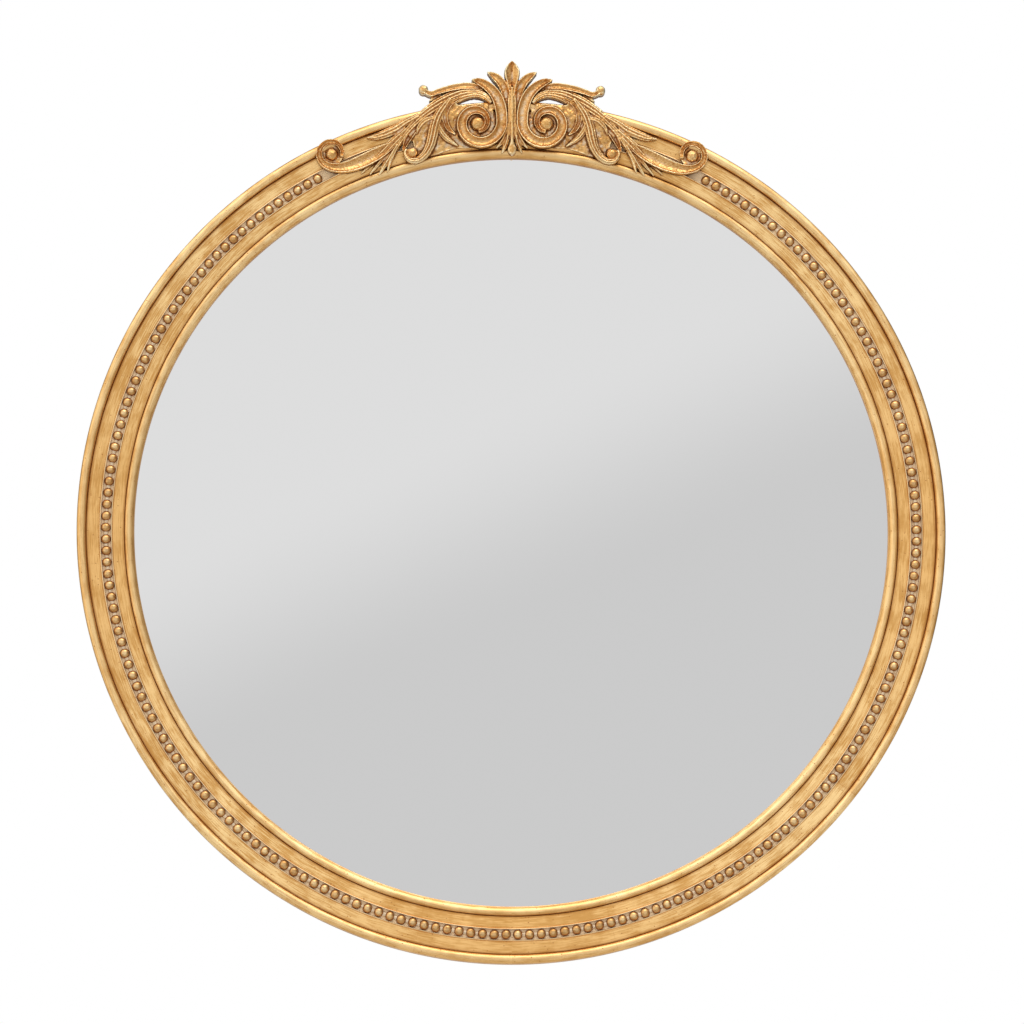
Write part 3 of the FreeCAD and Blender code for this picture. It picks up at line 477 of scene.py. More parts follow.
def moulding_section(m):
    """Rows of (radius, height): the front from the edge to the glass, then the rebate and the back."""
    rim_in, field_in, channel_out, channel_in, inner_out, lip_out, sight = ring_lines(m)
    rim_foot = m.face + 1.0 * MM
    shoulder = m.face + 2.7 * MM
    ridge_top = m.face + 0.7 * MM
    cove = m.face - CHANNEL_DEPTH + 0.6 * MM
    inner_face = m.face - 0.4 * MM
    lip_foot = inner_face - 1.2 * MM
    quirk = lip_foot - 0.6 * MM
    legs = (((m.radius, shoulder), 12), ((rim_in, shoulder), 22, 2.8 * MM, 0.9),
            ((rim_in - 0.1 * MM, rim_foot - 0.35 * MM), 4), ((rim_in - 0.8 * MM, rim_foot - 0.05 * MM), 3),
            ((field_in + 0.5 * MM, m.face), 14), ((field_in - 0.25 * MM, ridge_top - 0.1 * MM), 3),
            ((channel_out + 0.1 * MM, ridge_top - 0.05 * MM), 2), ((channel_out - 0.4 * MM, cove), 4),
            ((channel_in + 0.4 * MM, cove), 14, -0.6 * MM),
            ((channel_in - 0.1 * MM, ridge_top - 0.05 * MM), 4),
            ((inner_out + 0.2 * MM, ridge_top - 0.2 * MM), 2), ((inner_out - 0.3 * MM, inner_face), 3),
            ((lip_out + 0.4 * MM, lip_foot), 14), ((lip_out, quirk), 3),
            ((sight, quirk - 2.2 * MM), 24, 3.2 * MM), ((sight, m.rebate), 5))
    front, here = [], (m.radius, 0.0)
    for end, *course in legs:
        front += leg(here, end, *course)
        here = end
    return front, [(sight + SHELF, m.rebate), (sight + SHELF, 0.0), (m.radius - 1.0 * MM, 0.0)]


def nearness(rows, spots):
    """How near each row is to the nearest spot; a spot is radius, height, width in mm and strength."""
    total = np.zeros(len(rows))
    for radius, height, width, strength in spots:
        near = np.exp(-(np.hypot(rows[:, 0] - radius, rows[:, 1] - height) / (width * MM)) ** 2)
        total = np.maximum(total, near * strength)
    return total


def section_masks(front, m):
    """Hollow, crevice, ridge and gesso masks along the front of the section: hollows and crevices are a brown
    wash with painted shade, ridges burnished leaf with a painted highlight.
    """
    rows = np.array(front)
    rim_in, field_in, channel_out, channel_in, inner_out, lip_out, sight = ring_lines(m)
    floor = m.face - CHANNEL_DEPTH
    # painted shade in the grooves, beside the beads, down the lip's inner wall to the glass and on the ring's
    # outer side towards the wall, over the brown wash
    quirks = ((rim_in, m.face + 1.0 * MM, 2.0, 1.0), (lip_out, m.face - 2.2 * MM, 1.7, 1.0),
              (channel_out, floor, 1.1, 0.8), (channel_in, floor, 1.1, 0.8),
              (field_in, m.face, 0.8, 0.35), (inner_out, m.face - 0.4 * MM, 0.8, 0.35),
              (sight, m.rebate, 3.2, 0.75), (sight, m.rebate + 1.5 * MM, 2.0, 0.6), (m.radius, 0.0, 9.0, 0.7))
    # painted highlights on the crowns of the rim, lip and channel ridges, with burnished leaf
    crowns = ((m.radius - 0.55 * m.rim_width, m.face + 5.5 * MM, 2.0, 0.35),
              (lip_out - 0.5 * m.lip_width, m.face, 1.9, 0.4),
              (channel_out + 0.4 * MM, m.face + 0.7 * MM, 0.6, 0.6),
              (channel_in - 0.4 * MM, m.face + 0.6 * MM, 0.6, 0.6))
    hollow = nearness(rows, quirks)
    in_channel = (rows[:, 0] < channel_out + 0.3 * MM) & (rows[:, 0] > channel_in - 0.3 * MM)
    gesso = np.where(in_channel & (rows[:, 1] > m.rebate), 0.6, 0.0)
    return {"hollow": hollow, "crevice": hollow ** 5 * 0.6, "ridge": nearness(rows, crowns), "gesso": gesso}


def make_moulding(m):
    front, back = moulding_section(m)
    rows = np.array(front + back)
    turns = around(m.segments)
    radii, heights = (np.repeat(column[:, None], m.segments, 1) for column in rows.T)
    hand = 0.07 * MM * np.sin(turns * 23 + 1.0) * np.sin(turns * 5.0)
    hand += 0.05 * MM * np.sin(turns * 61 + 2 * np.sin(turns * 7))
    inside = (rows[:, 0] < m.radius - 2 * MM) & (rows[:, 1] > m.rebate + 1 * MM)
    heights[inside] += hand[None, :]
    points = np.stack([radii * np.sin(turns), -(STAND_OFF + heights), radii * np.cos(turns)], 2)
    quads = grid_quads(len(rows), m.segments, True, True)
    mesh = mesh_of("moulding", points.reshape(-1, 3), quads, 38)
    masks = {label: np.append(mask, np.zeros(len(back))) for label, mask in section_masks(front, m).items()}
    paint(mesh, **{label: np.repeat(mask, m.segments) for label, mask in masks.items()})
    mesh.materials.append(gilding("ring_gold", 0.29, 1100.0, 22.0, 0.10, laps=True))
    mesh.materials.append(bare_wood())
    behind = np.arange(len(quads)) // m.segments >= len(front) - 1
    mesh.polygons.foreach_set("material_index", behind.astype(np.int32))
    place("moulding", mesh, "frame_ring")


# ---------------------------------------------------------------- beads

BEAD_SIDES = 20
BEAD_TIERS = 9


def bead_shape(b, radius, tall, lean, oval, seed):
    """A slightly oval, lumpy dome on its own axes, its foot just under the channel's floor."""
    turns = around(BEAD_SIDES)
    tiers = np.linspace(0, math.pi / 2, BEAD_TIERS)
    reach = np.outer(radius * np.sin(tiers) ** 0.86, 1 + oval * np.cos(2 * (turns - lean)))
    lift = tall * np.cos(tiers) ** 0.9
    lift[-1] = -0.3 * MM
    lifts = np.repeat(lift[:, None], BEAD_SIDES, 1)
    points = np.stack([reach * np.cos(turns), lifts, reach * np.sin(turns)], 2).reshape(-1, 3)
    points[:, 1] += 0.05 * MM * bumps(points + seed, 3.0 * MM, seed) * (points[:, 1] > 0)
    points[:, 1] = np.minimum(points[:, 1], b.height)
    return points


def across_and_along(turn, side):
    """Directions out from the ring's centre and along the ring at a turn from the top."""
    outward = np.array([side * math.sin(turn), 0, math.cos(turn)])
    return outward, np.array([side * math.cos(turn), 0, -math.sin(turn)])


def make_beads(m, b, side_name, side):
    """One string of beads on a thin cord of gesso, no two quite alike."""
    draw = np.random.default_rng(b.seed + side)
    line = ring_lines(m)[2] - m.channel / 2
    floor = m.face - CHANNEL_DEPTH
    step = b.pitch / line
    count = int((math.pi - step / 2 - b.start / m.radius) / step) + 1
    blocks, levels = [], []
    for index in range(count):
        radius = b.radius * draw.uniform(0.95, 1.0)
        tall = b.height * draw.uniform(0.93, 1.0)
        shift = draw.normal(0, 0.12 * MM)
        lean = draw.uniform(0, 6.28)
        oval = draw.uniform(-0.05, 0.03)
        local = bead_shape(b, radius, tall, lean, oval, index)
        outward, sideways = across_and_along(math.pi - step * (index + 0.5), side)
        block = outward * (line + shift) + local[:, :1] * sideways + local[:, 2:] * outward
        block[:, 1] = -(STAND_OFF + floor + local[:, 1])
        blocks.append(block)
        levels.append(np.clip(local[:, 1] / b.height, 0, 1))
    dome = grid_quads(BEAD_TIERS, BEAD_SIDES, False, True)[:, ::-1]
    quads = [dome + index * BEAD_TIERS * BEAD_SIDES for index in range(count)]
    cord, cord_quads = bead_cord(line, floor, step, count, side)
    quads.append(cord_quads + count * BEAD_TIERS * BEAD_SIDES)
    mesh = mesh_of("beads_" + side_name, np.concatenate(blocks + [cord]), np.concatenate(quads), 60)
    level = np.concatenate(levels)
    # painted shade on each bead's lower part, darkest at its foot, and a little on the cord between the
    # beads; a painted highlight with burnished leaf on each bead's top
    hollow = np.append(np.clip((0.82 - level) / 0.42, 0, 1), np.full(len(cord), 0.25))
    ridge = np.append(np.clip((level - 0.88) / 0.12, 0, 1) * 0.7, np.zeros(len(cord)))
    gesso = np.append(np.zeros(len(level)), np.full(len(cord), 0.75))
    paint(mesh, hollow=hollow, ridge=ridge, gesso=gesso, crevice=np.clip(hollow * 1.3 - 0.85, 0, 0.6))
    mesh.materials.append(bpy.data.materials.get("bead_gold")
                          or gilding("bead_gold", 0.15, 300.0, 60.0, 0.2, browned=0.8))
    place("beads_" + side_name, mesh, "bead_string_" + side_name)


def bead_cord(line, floor, step, count, side):
    """The low ridge of gesso between the beads."""
    stations, sides = count * 6 + 1, 10
    turns = around(sides)
    points = []
    for index in range(stations):
        middle = max(math.pi - step * (0.5 + index / 6), math.pi - step * (count - 0.5))
        radius = (1.45 + 0.25 * math.sin(index * 1.9) + 0.2 * math.sin(index * 0.73)) * MM
        outward = across_and_along(middle, side)[0]
        wander = 0.15 * MM * math.sin(index * 1.3)
        block = outward * (line + wander) + outward * (radius * 1.25 * np.cos(turns))[:, None]
        block[:, 1] = -(STAND_OFF + floor + 0.35 * MM + radius * np.sin(turns))
        points.append(block)
    return np.concatenate(points), grid_quads(stations, sides, False, True)


# ---------------------------------------------------------------- shapes of the crest's strokes

def smooth(values, steps):
    """Rows of numbers joined by a smooth curve, with steps between each row and the next."""
    values = [np.array(row, float) for row in values]
    last = len(values) - 1
    rows = []
    for index in range(last):
        a, b, c, d = (values[min(max(index + offset, 0), last)] for offset in (-1, 0, 1, 2))
        for step in range(steps):
            u = step / steps
            rows.append(0.5 * (2 * b + (c - a) * u + (2 * a - 5 * b + 4 * c - d) * u * u
                               + (3 * b - a - 3 * c + d) * u ** 3))
    return np.array(rows + [values[last]])


def on_rim(along, out, side, m):
    """Points a distance along the rim from the top and a distance out from the ring's edge, both in mm."""
    radius = m.radius + np.asarray(out) * MM
    turn = np.asarray(along) * MM / m.radius
    return np.stack([side * radius * np.sin(turn), np.zeros_like(radius), radius * np.cos(turn)], -1)


def turned_edge(a):
    """0 across a band and 1 at its very edge."""
    return np.clip((a - 0.93) / 0.07, 0, 1) ** 2


def hollow_band(depth=2.6, lip=0.2, ridges=0.6):
    """A trough between two rounded ridges."""
    def relief(q):
        a = np.abs(q)
        trough = -depth * np.cos(np.clip(a / (1 - lip), 0, 1) * math.pi / 2) ** 0.8
        ridge = ridges * np.exp(-((a - (1 - lip * 0.7)) / (lip * 0.45)) ** 2)
        return trough + ridge - 2.4 * turned_edge(a)
    return relief


def fluted(count, depth=1.0, crown=1.6):
    """A crowned leaf with sharp grooves along it."""
    def relief(q):
        a = np.abs(q)
        groove = np.abs(np.cos(math.pi * count * (q + 1) / 2)) ** 0.6
        return crown * (1 - a ** 2) - 2.2 * a ** 8 - depth * 2.0 * (1 - groove)
    return relief


def round_cord(crown):
    """A plain half-round."""
    def relief(q):
        return crown * np.sqrt(np.clip(1 - np.abs(q) ** 2.2, 0, 1)) - crown
    return relief


def veined(depth, rib):
    """A hollow leaf with turned-up edges and a slit down its middle."""
    def relief(q):
        a = np.abs(q)
        trough = -depth * np.cos(np.clip(a / 0.84, 0, 1) * math.pi / 2)
        return trough - rib * np.exp(-(a / 0.1) ** 2) - 1.8 * turned_edge(a)
    return relief


BEDDED = 0.6 * MM           # castings reach this far below the top of what they lie on
BAND_THICKNESS = 1.6 * MM
WEB_THICKNESS = 1.2 * MM


class Casting:
    """Collects overlapping shells, then melts them into one skin. Its strokes are given in mm."""

    def __init__(self, context, side):
        self.m = context.scene.mirror_moulding
        self.crest = context.scene.mirror_crest
        self.side = side
        self.points = []
        self.faces = []
        self.count = 0

    def add(self, points, faces):
        self.points.append(points)
        self.faces += [[int(index) + self.count for index in face] for face in faces]
        self.count += len(points)

    def seat(self, points):
        """Heights of what lies under points: the moulding's top, or the castings' back in free air."""
        m = self.m
        rim_in, field_in = ring_lines(m)[:2]
        radius = np.hypot(points[..., 0], points[..., 2])
        places = (radius > m.radius + 0.2 * MM, radius > rim_in, radius > field_in)
        return np.select(places, (self.crest.back, m.face + 4.6 * MM, m.face + 0.2 * MM), m.face - 1.4 * MM)

    def strand(self, stations, levels, relief, across=17, steps=8):
        """A band along stations of (along, out, half width); levels is its relief at first and last."""
        rows = smooth(stations, steps)
        middle = on_rim(rows[:, 0], rows[:, 1], self.side, self.m)
        ahead = np.gradient(middle, axis=0)
        lateral = np.stack([-ahead[:, 2], np.zeros(len(ahead)), ahead[:, 0]], 1)
        lateral /= np.linalg.norm(lateral, axis=1)[:, None] + 1e-12
        half = np.maximum(rows[:, 2], 0.3) * MM
        q = np.linspace(-1, 1, across)
        level = self.crest.relief / MM + levels[0] + (levels[1] - levels[0]) * np.linspace(0, 1, len(rows))
        fullness = np.clip(half / (2.2 * MM), 0.15, 1.0)
        heights = (level[:, None] + np.outer(fullness, relief(q))) * MM
        top = middle[:, None] + q[:, None] * (lateral * half[:, None])[:, None]
        under = top[:, ::-1].copy()
        low = np.minimum(self.seat(top) - BEDDED, heights - BAND_THICKNESS)
        top[..., 1] = -(STAND_OFF + heights)
        under[..., 1] = -(STAND_OFF + low[:, ::-1])
        points = np.concatenate([top, under], 1).reshape(-1, 3)
        girth = across * 2
        faces = grid_quads(len(rows), girth, False, True).tolist()
        faces.append(list(range(girth)))
        faces.append(list(range(len(points) - 1, len(points) - girth - 1, -1)))
        self.add(points, faces)

    def rings(self, along, out, reaches, heights, sides):
        """Rings of points round a centre, from the middle out."""
        x, y, z = on_rim(along, out, self.side, self.m)
        turns = around(sides)
        upright = np.repeat(-(STAND_OFF + heights)[:, None], sides, 1)
        rings = [x + np.outer(reaches, np.cos(turns)), upright, z + np.outer(reaches, np.sin(turns))]
        return np.stack(rings, 2).reshape(-1, 3)

    def close_rings(self, points, sides, low):
        """Adds rings with a skirt down to low and a bottom."""
        foot = points[-sides:].copy()
        foot[:, 1] = -(STAND_OFF + low)
        faces = grid_quads(len(points) // sides + 1, sides, False, True).tolist()
        faces.append([len(points) + k for k in range(sides)][::-1])
        self.add(np.concatenate([points, foot]), faces)

    def knob(self, along, out, radius, level, squash=0.9):
        """A round eye or knob."""
        tiers = np.linspace(0, math.pi / 2, 15)
        heights = self.crest.relief + (level - radius * squash * (1 - np.cos(tiers))) * MM
        points = self.rings(along, out, radius * MM * np.sin(tiers), heights, 28)
        self.close_rings(points, 28, self.seat(on_rim(along, out, self.side, self.m)) - BEDDED)

    def ground(self, along, out, radius, level, lumps, seed):
        """A low bed of rough gesso that fills a recess."""
        reaches = radius * MM * np.linspace(0, 1, 10)
        heights = np.full(len(reaches), self.crest.relief + level * MM)
        points = self.rings(along, out, reaches, heights, 40)
        points[:, 1] -= lumps * MM * bumps(points, 3.5 * MM, seed)
        self.close_rings(points, 40, self.seat(points[-40:]) - 1.0 * MM)

    def web(self, outer, inner, across):
        """A sheet of thin, lumpy ground between two rows of (along, out, relief)."""
        outer, inner = smooth(outer, 9), smooth(inner, 9)
        rows = outer[:, None] + (inner - outer)[:, None] * np.linspace(0, 1, across)[:, None]
        tops = on_rim(rows[..., 0], rows[..., 1], self.side, self.m)
        tops[..., 1] = -(STAND_OFF + self.crest.relief + rows[..., 2] * MM)
        tops = tops.reshape(-1, 3)
        tops[:, 1] -= 0.7 * MM * bumps(tops * (self.side, 1, 1), 5.0 * MM, 5)
        under = tops.copy()
        low = np.minimum(self.seat(tops) - BEDDED, -STAND_OFF - tops[:, 1] - WEB_THICKNESS)
        under[:, 1] = -(STAND_OFF + low)
        faces = grid_quads(len(outer), across)
        count = len(tops)
        order = np.arange(count).reshape(len(outer), across)
        edge = np.concatenate([order[0], order[1:, -1], order[-1, -2::-1], order[-2:0:-1, 0]]).tolist()
        walls = [[a, b, b + count, a + count] for a, b in zip(edge, edge[1:] + edge[:1])]
        self.add(np.concatenate([tops, under]), faces.tolist() + (faces[:, ::-1] + count).tolist() + walls)

    def melted(self, name, seed):
        """One skin over all the shells, slightly softened and roughened like gessoed casting."""
        raw = mesh_of(name + "_shells", np.concatenate(self.points), self.faces)
        holder = bpy.data.objects.new(name + "_shells", raw)
        bpy.context.scene.collection.objects.link(holder)
        skin = holder.modifiers.new("Skin", "REMESH")
        skin.mode = "VOXEL"
        skin.voxel_size = self.crest.grain
        soften = holder.modifiers.new("Soften", "SMOOTH")
        soften.factor = 0.5
        soften.iterations = 2
        graph = bpy.context.evaluated_depsgraph_get()
        mesh = bpy.data.meshes.new_from_object(holder.evaluated_get(graph))
        bpy.data.objects.remove(holder)
        bpy.data.meshes.remove(raw)
        mesh.name = name
        mesh.materials.clear()
        points = per_point(mesh, "co")
        rough = 0.6 * bumps(points * (self.side, 1, 1), 1.6 * MM, seed)
        rough += 0.7 * bumps(points, 4.0 * MM, seed + 1)
        points += per_point(mesh, "normal") * (rough * self.crest.roughening)[:, None]
        mesh.vertices.foreach_set("co", np.clip(points, CAD_BOX[0], CAD_BOX[1]).ravel())
        mesh.update()
        mesh.shade_smooth()
        return mesh


# ---------------------------------------------------------------- crest

VOLUTE_EYE = (32.0, -19.0)
VOLUTE_START = 22.5
RELIEF_CELL = 0.45 * MM
RELIEF_MAP = (-0.21, 0.26, 0.42, 0.17)      # left, bottom, width and height of the crest's map


def shape_palmette(leaf):
    leaf.strand([(0, 36, 0.4), (0, 32, 4.4), (0, 26.5, 6.8), (0, 20.5, 6.0), (0, 13, 3.6), (0, 4, 2.0)],
                (-0.5, 0.5), veined(2.6, 0.6), 25)
    leaf.strand([(0, 12, 1.0), (0, -8, 1.5), (0, -30, 1.6), (0, -37, 1.5), (0, -42.5, 3.8), (0, -46.5, 3.0),
                 (0, -48.6, 0.5)], (0.4, -1.5), round_cord(1.8), 15)
    for side in (-1, 1):
        leaf.side = side
        leaf.strand([(20.5, 26.5, 0.4), (14.5, 22.3, 3.4), (9.4, 16.5, 4.2), (6.0, 8, 3.8), (4.4, -2, 2.8),
                     (3.6, -13, 2.0), (4.0, -24, 1.4)], (-1.0, -1.2), hollow_band(2.0), 19)
        leaf.strand([(1.6, 14, 0.6), (2.6, 2, 1.0), (2.9, -12, 1.1), (3.2, -26, 1.0), (4.6, -33, 0.8)],
                    (-0.6, -1.6), round_cord(1.4), 9)
        leaf.strand([(2.6, -19, 1.6), (6.0, -28, 2.6), (10.0, -35.5, 3.0), (15.5, -42, 0.4)],
                    (-1.6, -4.2), fluted(2, 1.0, 1.2))
        leaf.strand([(2.0, -28, 1.6), (4.8, -35, 2.2), (7.2, -41, 2.2), (10.5, -46.5, 0.4)],
                    (-1.8, -5.2), fluted(2, 0.9, 1.0), 15)


def shape_volute(volute):
    """The lead comes down from its leaf and winds in round the eye."""
    stations = [(34, 20.5, 0.4), (27.5, 18.0, 3.4), (20.0, 12.6, 4.6), (13.8, 4.2, 5.2), (10.2, -7, 5.4)]
    quarters = zip((1.0, 0.77, 0.66, 0.52, 0.40, 0.33), (5.2, 4.7, 4.6, 3.8, 2.4, 1.5))
    coil = smooth([(VOLUTE_START * share, width) for share, width in quarters], 6)
    for index, (radius, width) in enumerate(coil):
        turn = math.pi + math.radians(15 * index)
        along, out = VOLUTE_EYE[0] + radius * math.cos(turn), VOLUTE_EYE[1] + radius * math.sin(turn)
        stations.append((along, out, width))
    volute.strand(stations, (-0.5, 0.3), hollow_band(2.4, 0.2, 0.7), 23, 4)
    volute.knob(*VOLUTE_EYE, 6.4, 1.8)
    volute.ground(*VOLUTE_EYE, 18.0, -4.8, 0.6, 5)


def shape_top_scroll(arm):
    arm.strand([(25, 12, 1.6), (35, 15.0, 3.2), (44.5, 15.6, 3.2), (54, 15.0, 3.0), (62.5, 13.8, 2.7),
                (69.5, 12.8, 2.4), (75, 16.5, 2.0)], (-2.0, -2.2), hollow_band(1.4, 0.3, 0.4))
    arm.strand([(62, 11.0, 1.2), (67.5, 9.2, 1.8), (72.5, 7.4, 0.4)], (-5.0, -6.0), round_cord(1.2), 11)
    arm.knob(75.4, 18.0, 4.2, -1.5, 0.8)


def shape_acanthus(leaf):
    leaf.strand([(18.5, -1.5, 1.6), (22.5, 4.2, 3.0), (28, 7.6, 3.6), (34, 8.8, 3.9), (44, 8.4, 5.4),
                 (54.5, 5.4, 6.2), (65.5, 1.7, 6.0), (76.5, -3.0, 5.2), (86, -8.0, 4.4), (95.5, -13.8, 3.8),
                 (104.5, -20.6, 3.2), (112, -27.3, 2.7), (119.5, -35, 2.2), (127.5, -45.5, 0.4)],
                (-0.7, -4.5), fluted(4, 1.3, 1.4), 37)
    leaf.strand([(78, -6, 1.2), (86, -12.4, 2.6), (94.5, -18.8, 3.0), (101.5, -25.2, 2.6),
                 (106.5, -31.5, 0.8)], (-2.8, -4.0), hollow_band(2.6, 0.26), 19)
    leaf.strand([(84, -4.2, 2.4), (97, -7.4, 3.4), (107, -10.8, 4.2), (118, -12.2, 4.0), (127, -12.2, 3.0),
                 (135, -10.5, 0.4)], (-1.6, -4.0), fluted(3, 1.1, 1.2), 25)
    fingers = ([(98, -13.5, 2.2), (114, -20.6, 2.8), (125.5, -26.4, 2.8), (138.5, -32.6, 2.4),
                (152.5, -38.5, 0.4)],
               [(104, -19, 2.2), (121.5, -28.6, 2.6), (132.5, -35, 2.4), (144.5, -42, 0.4)],
               [(110, -25, 2.0), (122, -34.5, 2.3), (129.5, -40, 2.1), (136.5, -45.5, 0.4)])
    for finger in fingers:
        leaf.strand(finger, (-2.4, -6.0), fluted(2, 1.0, 1.0))


def shape_bud_scroll(bud):
    """Bud, sprigs and eye, on a thin ground from the rim down to the lip."""
    bud.strand([(54, 6, 2.0), (60, 0.0, 3.6), (66.5, -7, 4.2), (71.8, -16, 4.6), (75.8, -25, 4.5),
                (80.2, -33, 4.0), (86.6, -39.4, 3.4), (94.6, -42.8, 2.9), (102.4, -41, 2.5),
                (105.4, -35, 1.8), (103, -31, 1.2)], (-0.6, -2.4), fluted(3, 1.2, 1.2), 27)
    bud.strand([(70, -9, 2.0), (79, -9.6, 3.6), (86, -14, 3.2), (90, -20, 0.4)], (-1.4, -4.0),
               fluted(3, 1.0, 1.0), 23)
    bud.strand([(69, -12, 2.0), (67, -21, 3.2), (62, -29, 2.8), (53, -37, 0.4)], (-1.6, -5.0),
               fluted(3, 1.0, 1.0), 21)
    bud.strand([(45.5, 5.0, 1.6), (54, 1.6, 2.4), (59.6, -4.8, 2.8), (61.4, -13, 2.6), (59.4, -21, 2.2),
                (54, -26.5, 0.6)], (-0.4, -3.4), hollow_band(1.6, 0.3))
    rim_edge = [(17, -3.0, -3.4), (24, -2.0, -3.0), (30, -1.0, -2.4), (47.5, -0.8, -2.2), (50, 3.5, -2.2),
                (60, 3.0, -2.2), (70, 0.0, -2.4), (80, -5.0, -2.8), (90, -11.0, -4.0), (98, -17.0, -5.0)]
    rim_foot = [(17, -9.5, -3.4), (24, -9.5, -3.0), (30, -9.5, -2.6), (44, -9.5, -2.4), (50, -9.5, -2.4),
                (58, -9.5, -2.6), (66, -10.0, -2.8), (76, -13.0, -3.4), (86, -20.0, -5.0), (95, -26.0, -5.8)]
    lip_out = (-39.0, -39.0, -39.0, -39.0, -38.5, -38.5, -39.5, -41.0, -41.0, -41.0)
    lip_edge = [(foot[0], out, -8.6) for foot, out in zip(rim_foot, lip_out)]
    bud.web(rim_edge, rim_foot, 12)
    bud.web(rim_foot, lip_edge, 30)
    bud.knob(98.6, -35.4, 4.8, -0.6)


def shape_end_scroll(scroll):
    scroll.strand([(110, -23, 1.6), (121, -25.6, 4.4), (133, -27.8, 6.0), (148, -29.2, 6.2),
                   (162, -28.4, 5.2), (173, -24.8, 4.0), (180, -18.6, 3.2), (181.6, -10.5, 2.9),
                   (177, -3.4, 2.7), (169, -1.4, 2.6), (162, -5.4, 2.4), (160.2, -12.5, 2.0),
                   (163, -18.5, 1.4)], (-2.5, -0.6), hollow_band(2.2, 0.18), 23)
    scroll.ground(170.4, -12.4, 10.0, -4.4, 0.5, 9)
    scroll.knob(170.4, -12.4, 5.6, 0.2)


SIDE_CASTINGS = (("volute", shape_volute, 20), ("top_scroll", shape_top_scroll, 30),
                 ("acanthus", shape_acanthus, 40), ("bud_scroll", shape_bud_scroll, 50),
                 ("end_scroll", shape_end_scroll, 60))


def cast(context, name, shape, side, seed):
    """Shapes one casting and puts it in the place of its solid."""
    casting = Casting(context, side)
    shape(casting)
    mesh = casting.melted(name + "_cast", seed)
    mesh.materials.append(bpy.data.materials.get("crest_gold")
                          or gilding("crest_gold", 0.25, 620.0, 240.0, 0.3, browned=0.3))
    place(name + "_cast", mesh, name)
    return mesh


def make_crest(context):
    meshes = [cast(context, "crest_palmette", shape_palmette, 1, 11)]
    for side_name, side in (("_left", -1), ("_right", 1)):
        for name, shape, seed in SIDE_CASTINGS:
            meshes.append(cast(context, name + side_name, shape, side, seed + side))
    paint_wear_and_shade(meshes, context.scene.mirror_moulding)


def paint_wear_and_shade(meshes, m):
    """Paints a brown wash with painted shade in the hollows, painted shade in the dark crevices, burnished
    leaf with a painted highlight on the ridges, and chalky ground, from the whole crest's relief.
    """
    left, bottom, width, height = RELIEF_MAP
    columns, rows = int(width / RELIEF_CELL), int(height / RELIEF_CELL)
    across = left + RELIEF_CELL * (np.arange(columns) + 0.5)
    upright = bottom + RELIEF_CELL * (np.arange(rows) + 0.5)
    section = np.array(sorted(row for row in moulding_section(m)[0] if row[1] > m.rebate))
    radius = np.hypot(across[None, :], upright[:, None])
    field = np.interp(radius, section[:, 0], section[:, 1], left=m.rebate, right=8 * MM)

    def cells(points):
        return (np.clip(((points[:, 2] - bottom) / RELIEF_CELL).astype(int), 0, rows - 1),
                np.clip(((points[:, 0] - left) / RELIEF_CELL).astype(int), 0, columns - 1))

    for mesh in meshes:
        points = per_point(mesh, "co")
        np.maximum.at(field, cells(points), -points[:, 1] - STAND_OFF)
    fine_field, broad_field = blurred(field, 1.7), blurred(field, 6.5)
    for index, mesh in enumerate(meshes):
        points = per_point(mesh, "co")
        here = cells(points)
        fine = fine_field[here] + points[:, 1] + STAND_OFF
        broad = broad_field[here] + points[:, 1] + STAND_OFF
        patch = bumps(points, 8.0 * MM, 70 + index) + 0.7 * bumps(points, 3.0 * MM, 90 + index)
        # hollow and crevice: painted shade where the surface lies below its blurred surroundings, over the
        # brown wash
        hollow = 0.8 * np.clip((fine - 0.03 * MM) / (0.35 * MM), 0, 1)
        hollow += 0.4 * np.clip(broad / (1.8 * MM), 0, 1)
        crevice = np.clip((fine - 0.25 * MM) / (0.7 * MM), 0, 1) * np.clip(0.6 + broad / (3 * MM), 0, 1)
        # ridge: painted highlight on raised edges, with burnished leaf
        ridge = np.clip((-fine - 0.10 * MM) / (0.3 * MM), 0, 1)
        ground = np.clip((broad - 0.2 * MM) / (1.2 * MM), 0, 1)
        ground *= np.clip(1.2 - np.abs(fine) / (0.5 * MM), 0, 1)
        chalk = np.clip(ground * np.clip(patch * 0.9 + 0.35, 0, 1) * 1.2, 0, 0.9)
        chips = 0.5 * np.clip(patch - 0.75, 0, 1) * ridge
        paint(mesh, hollow=np.clip(hollow, 0, 1), crevice=np.clip(crevice, 0, 1), ridge=ridge,
              gesso=np.maximum(chalk, chips))


# ---------------------------------------------------------------- glass and what backs it

def silvered_glass():
    finish = Finish("silvered_glass")
    haze = finish.noise(finish.coordinates(), 6.0)
    finish.give(Base_Color=(0.865, 0.865, 0.865, 1), Metallic=1.0,
                Roughness=finish.stretch(haze, 0.3, 0.8, 0.012, 0.02))
    return finish.material


def hardboard():
    finish = Finish("hardboard")
    fibres = finish.noise(finish.coordinates(), 260.0, 6.0, 0.7)
    cloud = finish.stretch(finish.noise(finish.coordinates(), 9.0), 0.3, 0.7, 0.0, 0.35)
    colour = finish.blend(fibres, (0.20, 0.115, 0.055, 1), (0.33, 0.20, 0.10, 1))
    finish.give(Base_Color=finish.blend(cloud, colour, (0.16, 0.09, 0.045, 1)), Roughness=0.7)
    finish.bump(fibres, 0.0002, 0.5)
    return finish.material


def packing_foam():
    finish = Finish("packing_foam")
    cells = finish.noise(finish.coordinates(), 700.0, 2.0)
    finish.give(Base_Color=finish.blend(cells, (0.72, 0.72, 0.69, 1), (0.86, 0.86, 0.84, 1)), Roughness=0.85)
    finish.bump(cells, 0.0002, 0.6)
    return finish.material


def dress(node_name, material):
    """Gives a carried-over solid its finish."""
    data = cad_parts[node_name].data
    data.materials.clear()
    data.materials.append(material)


# ---------------------------------------------------------------- hardware

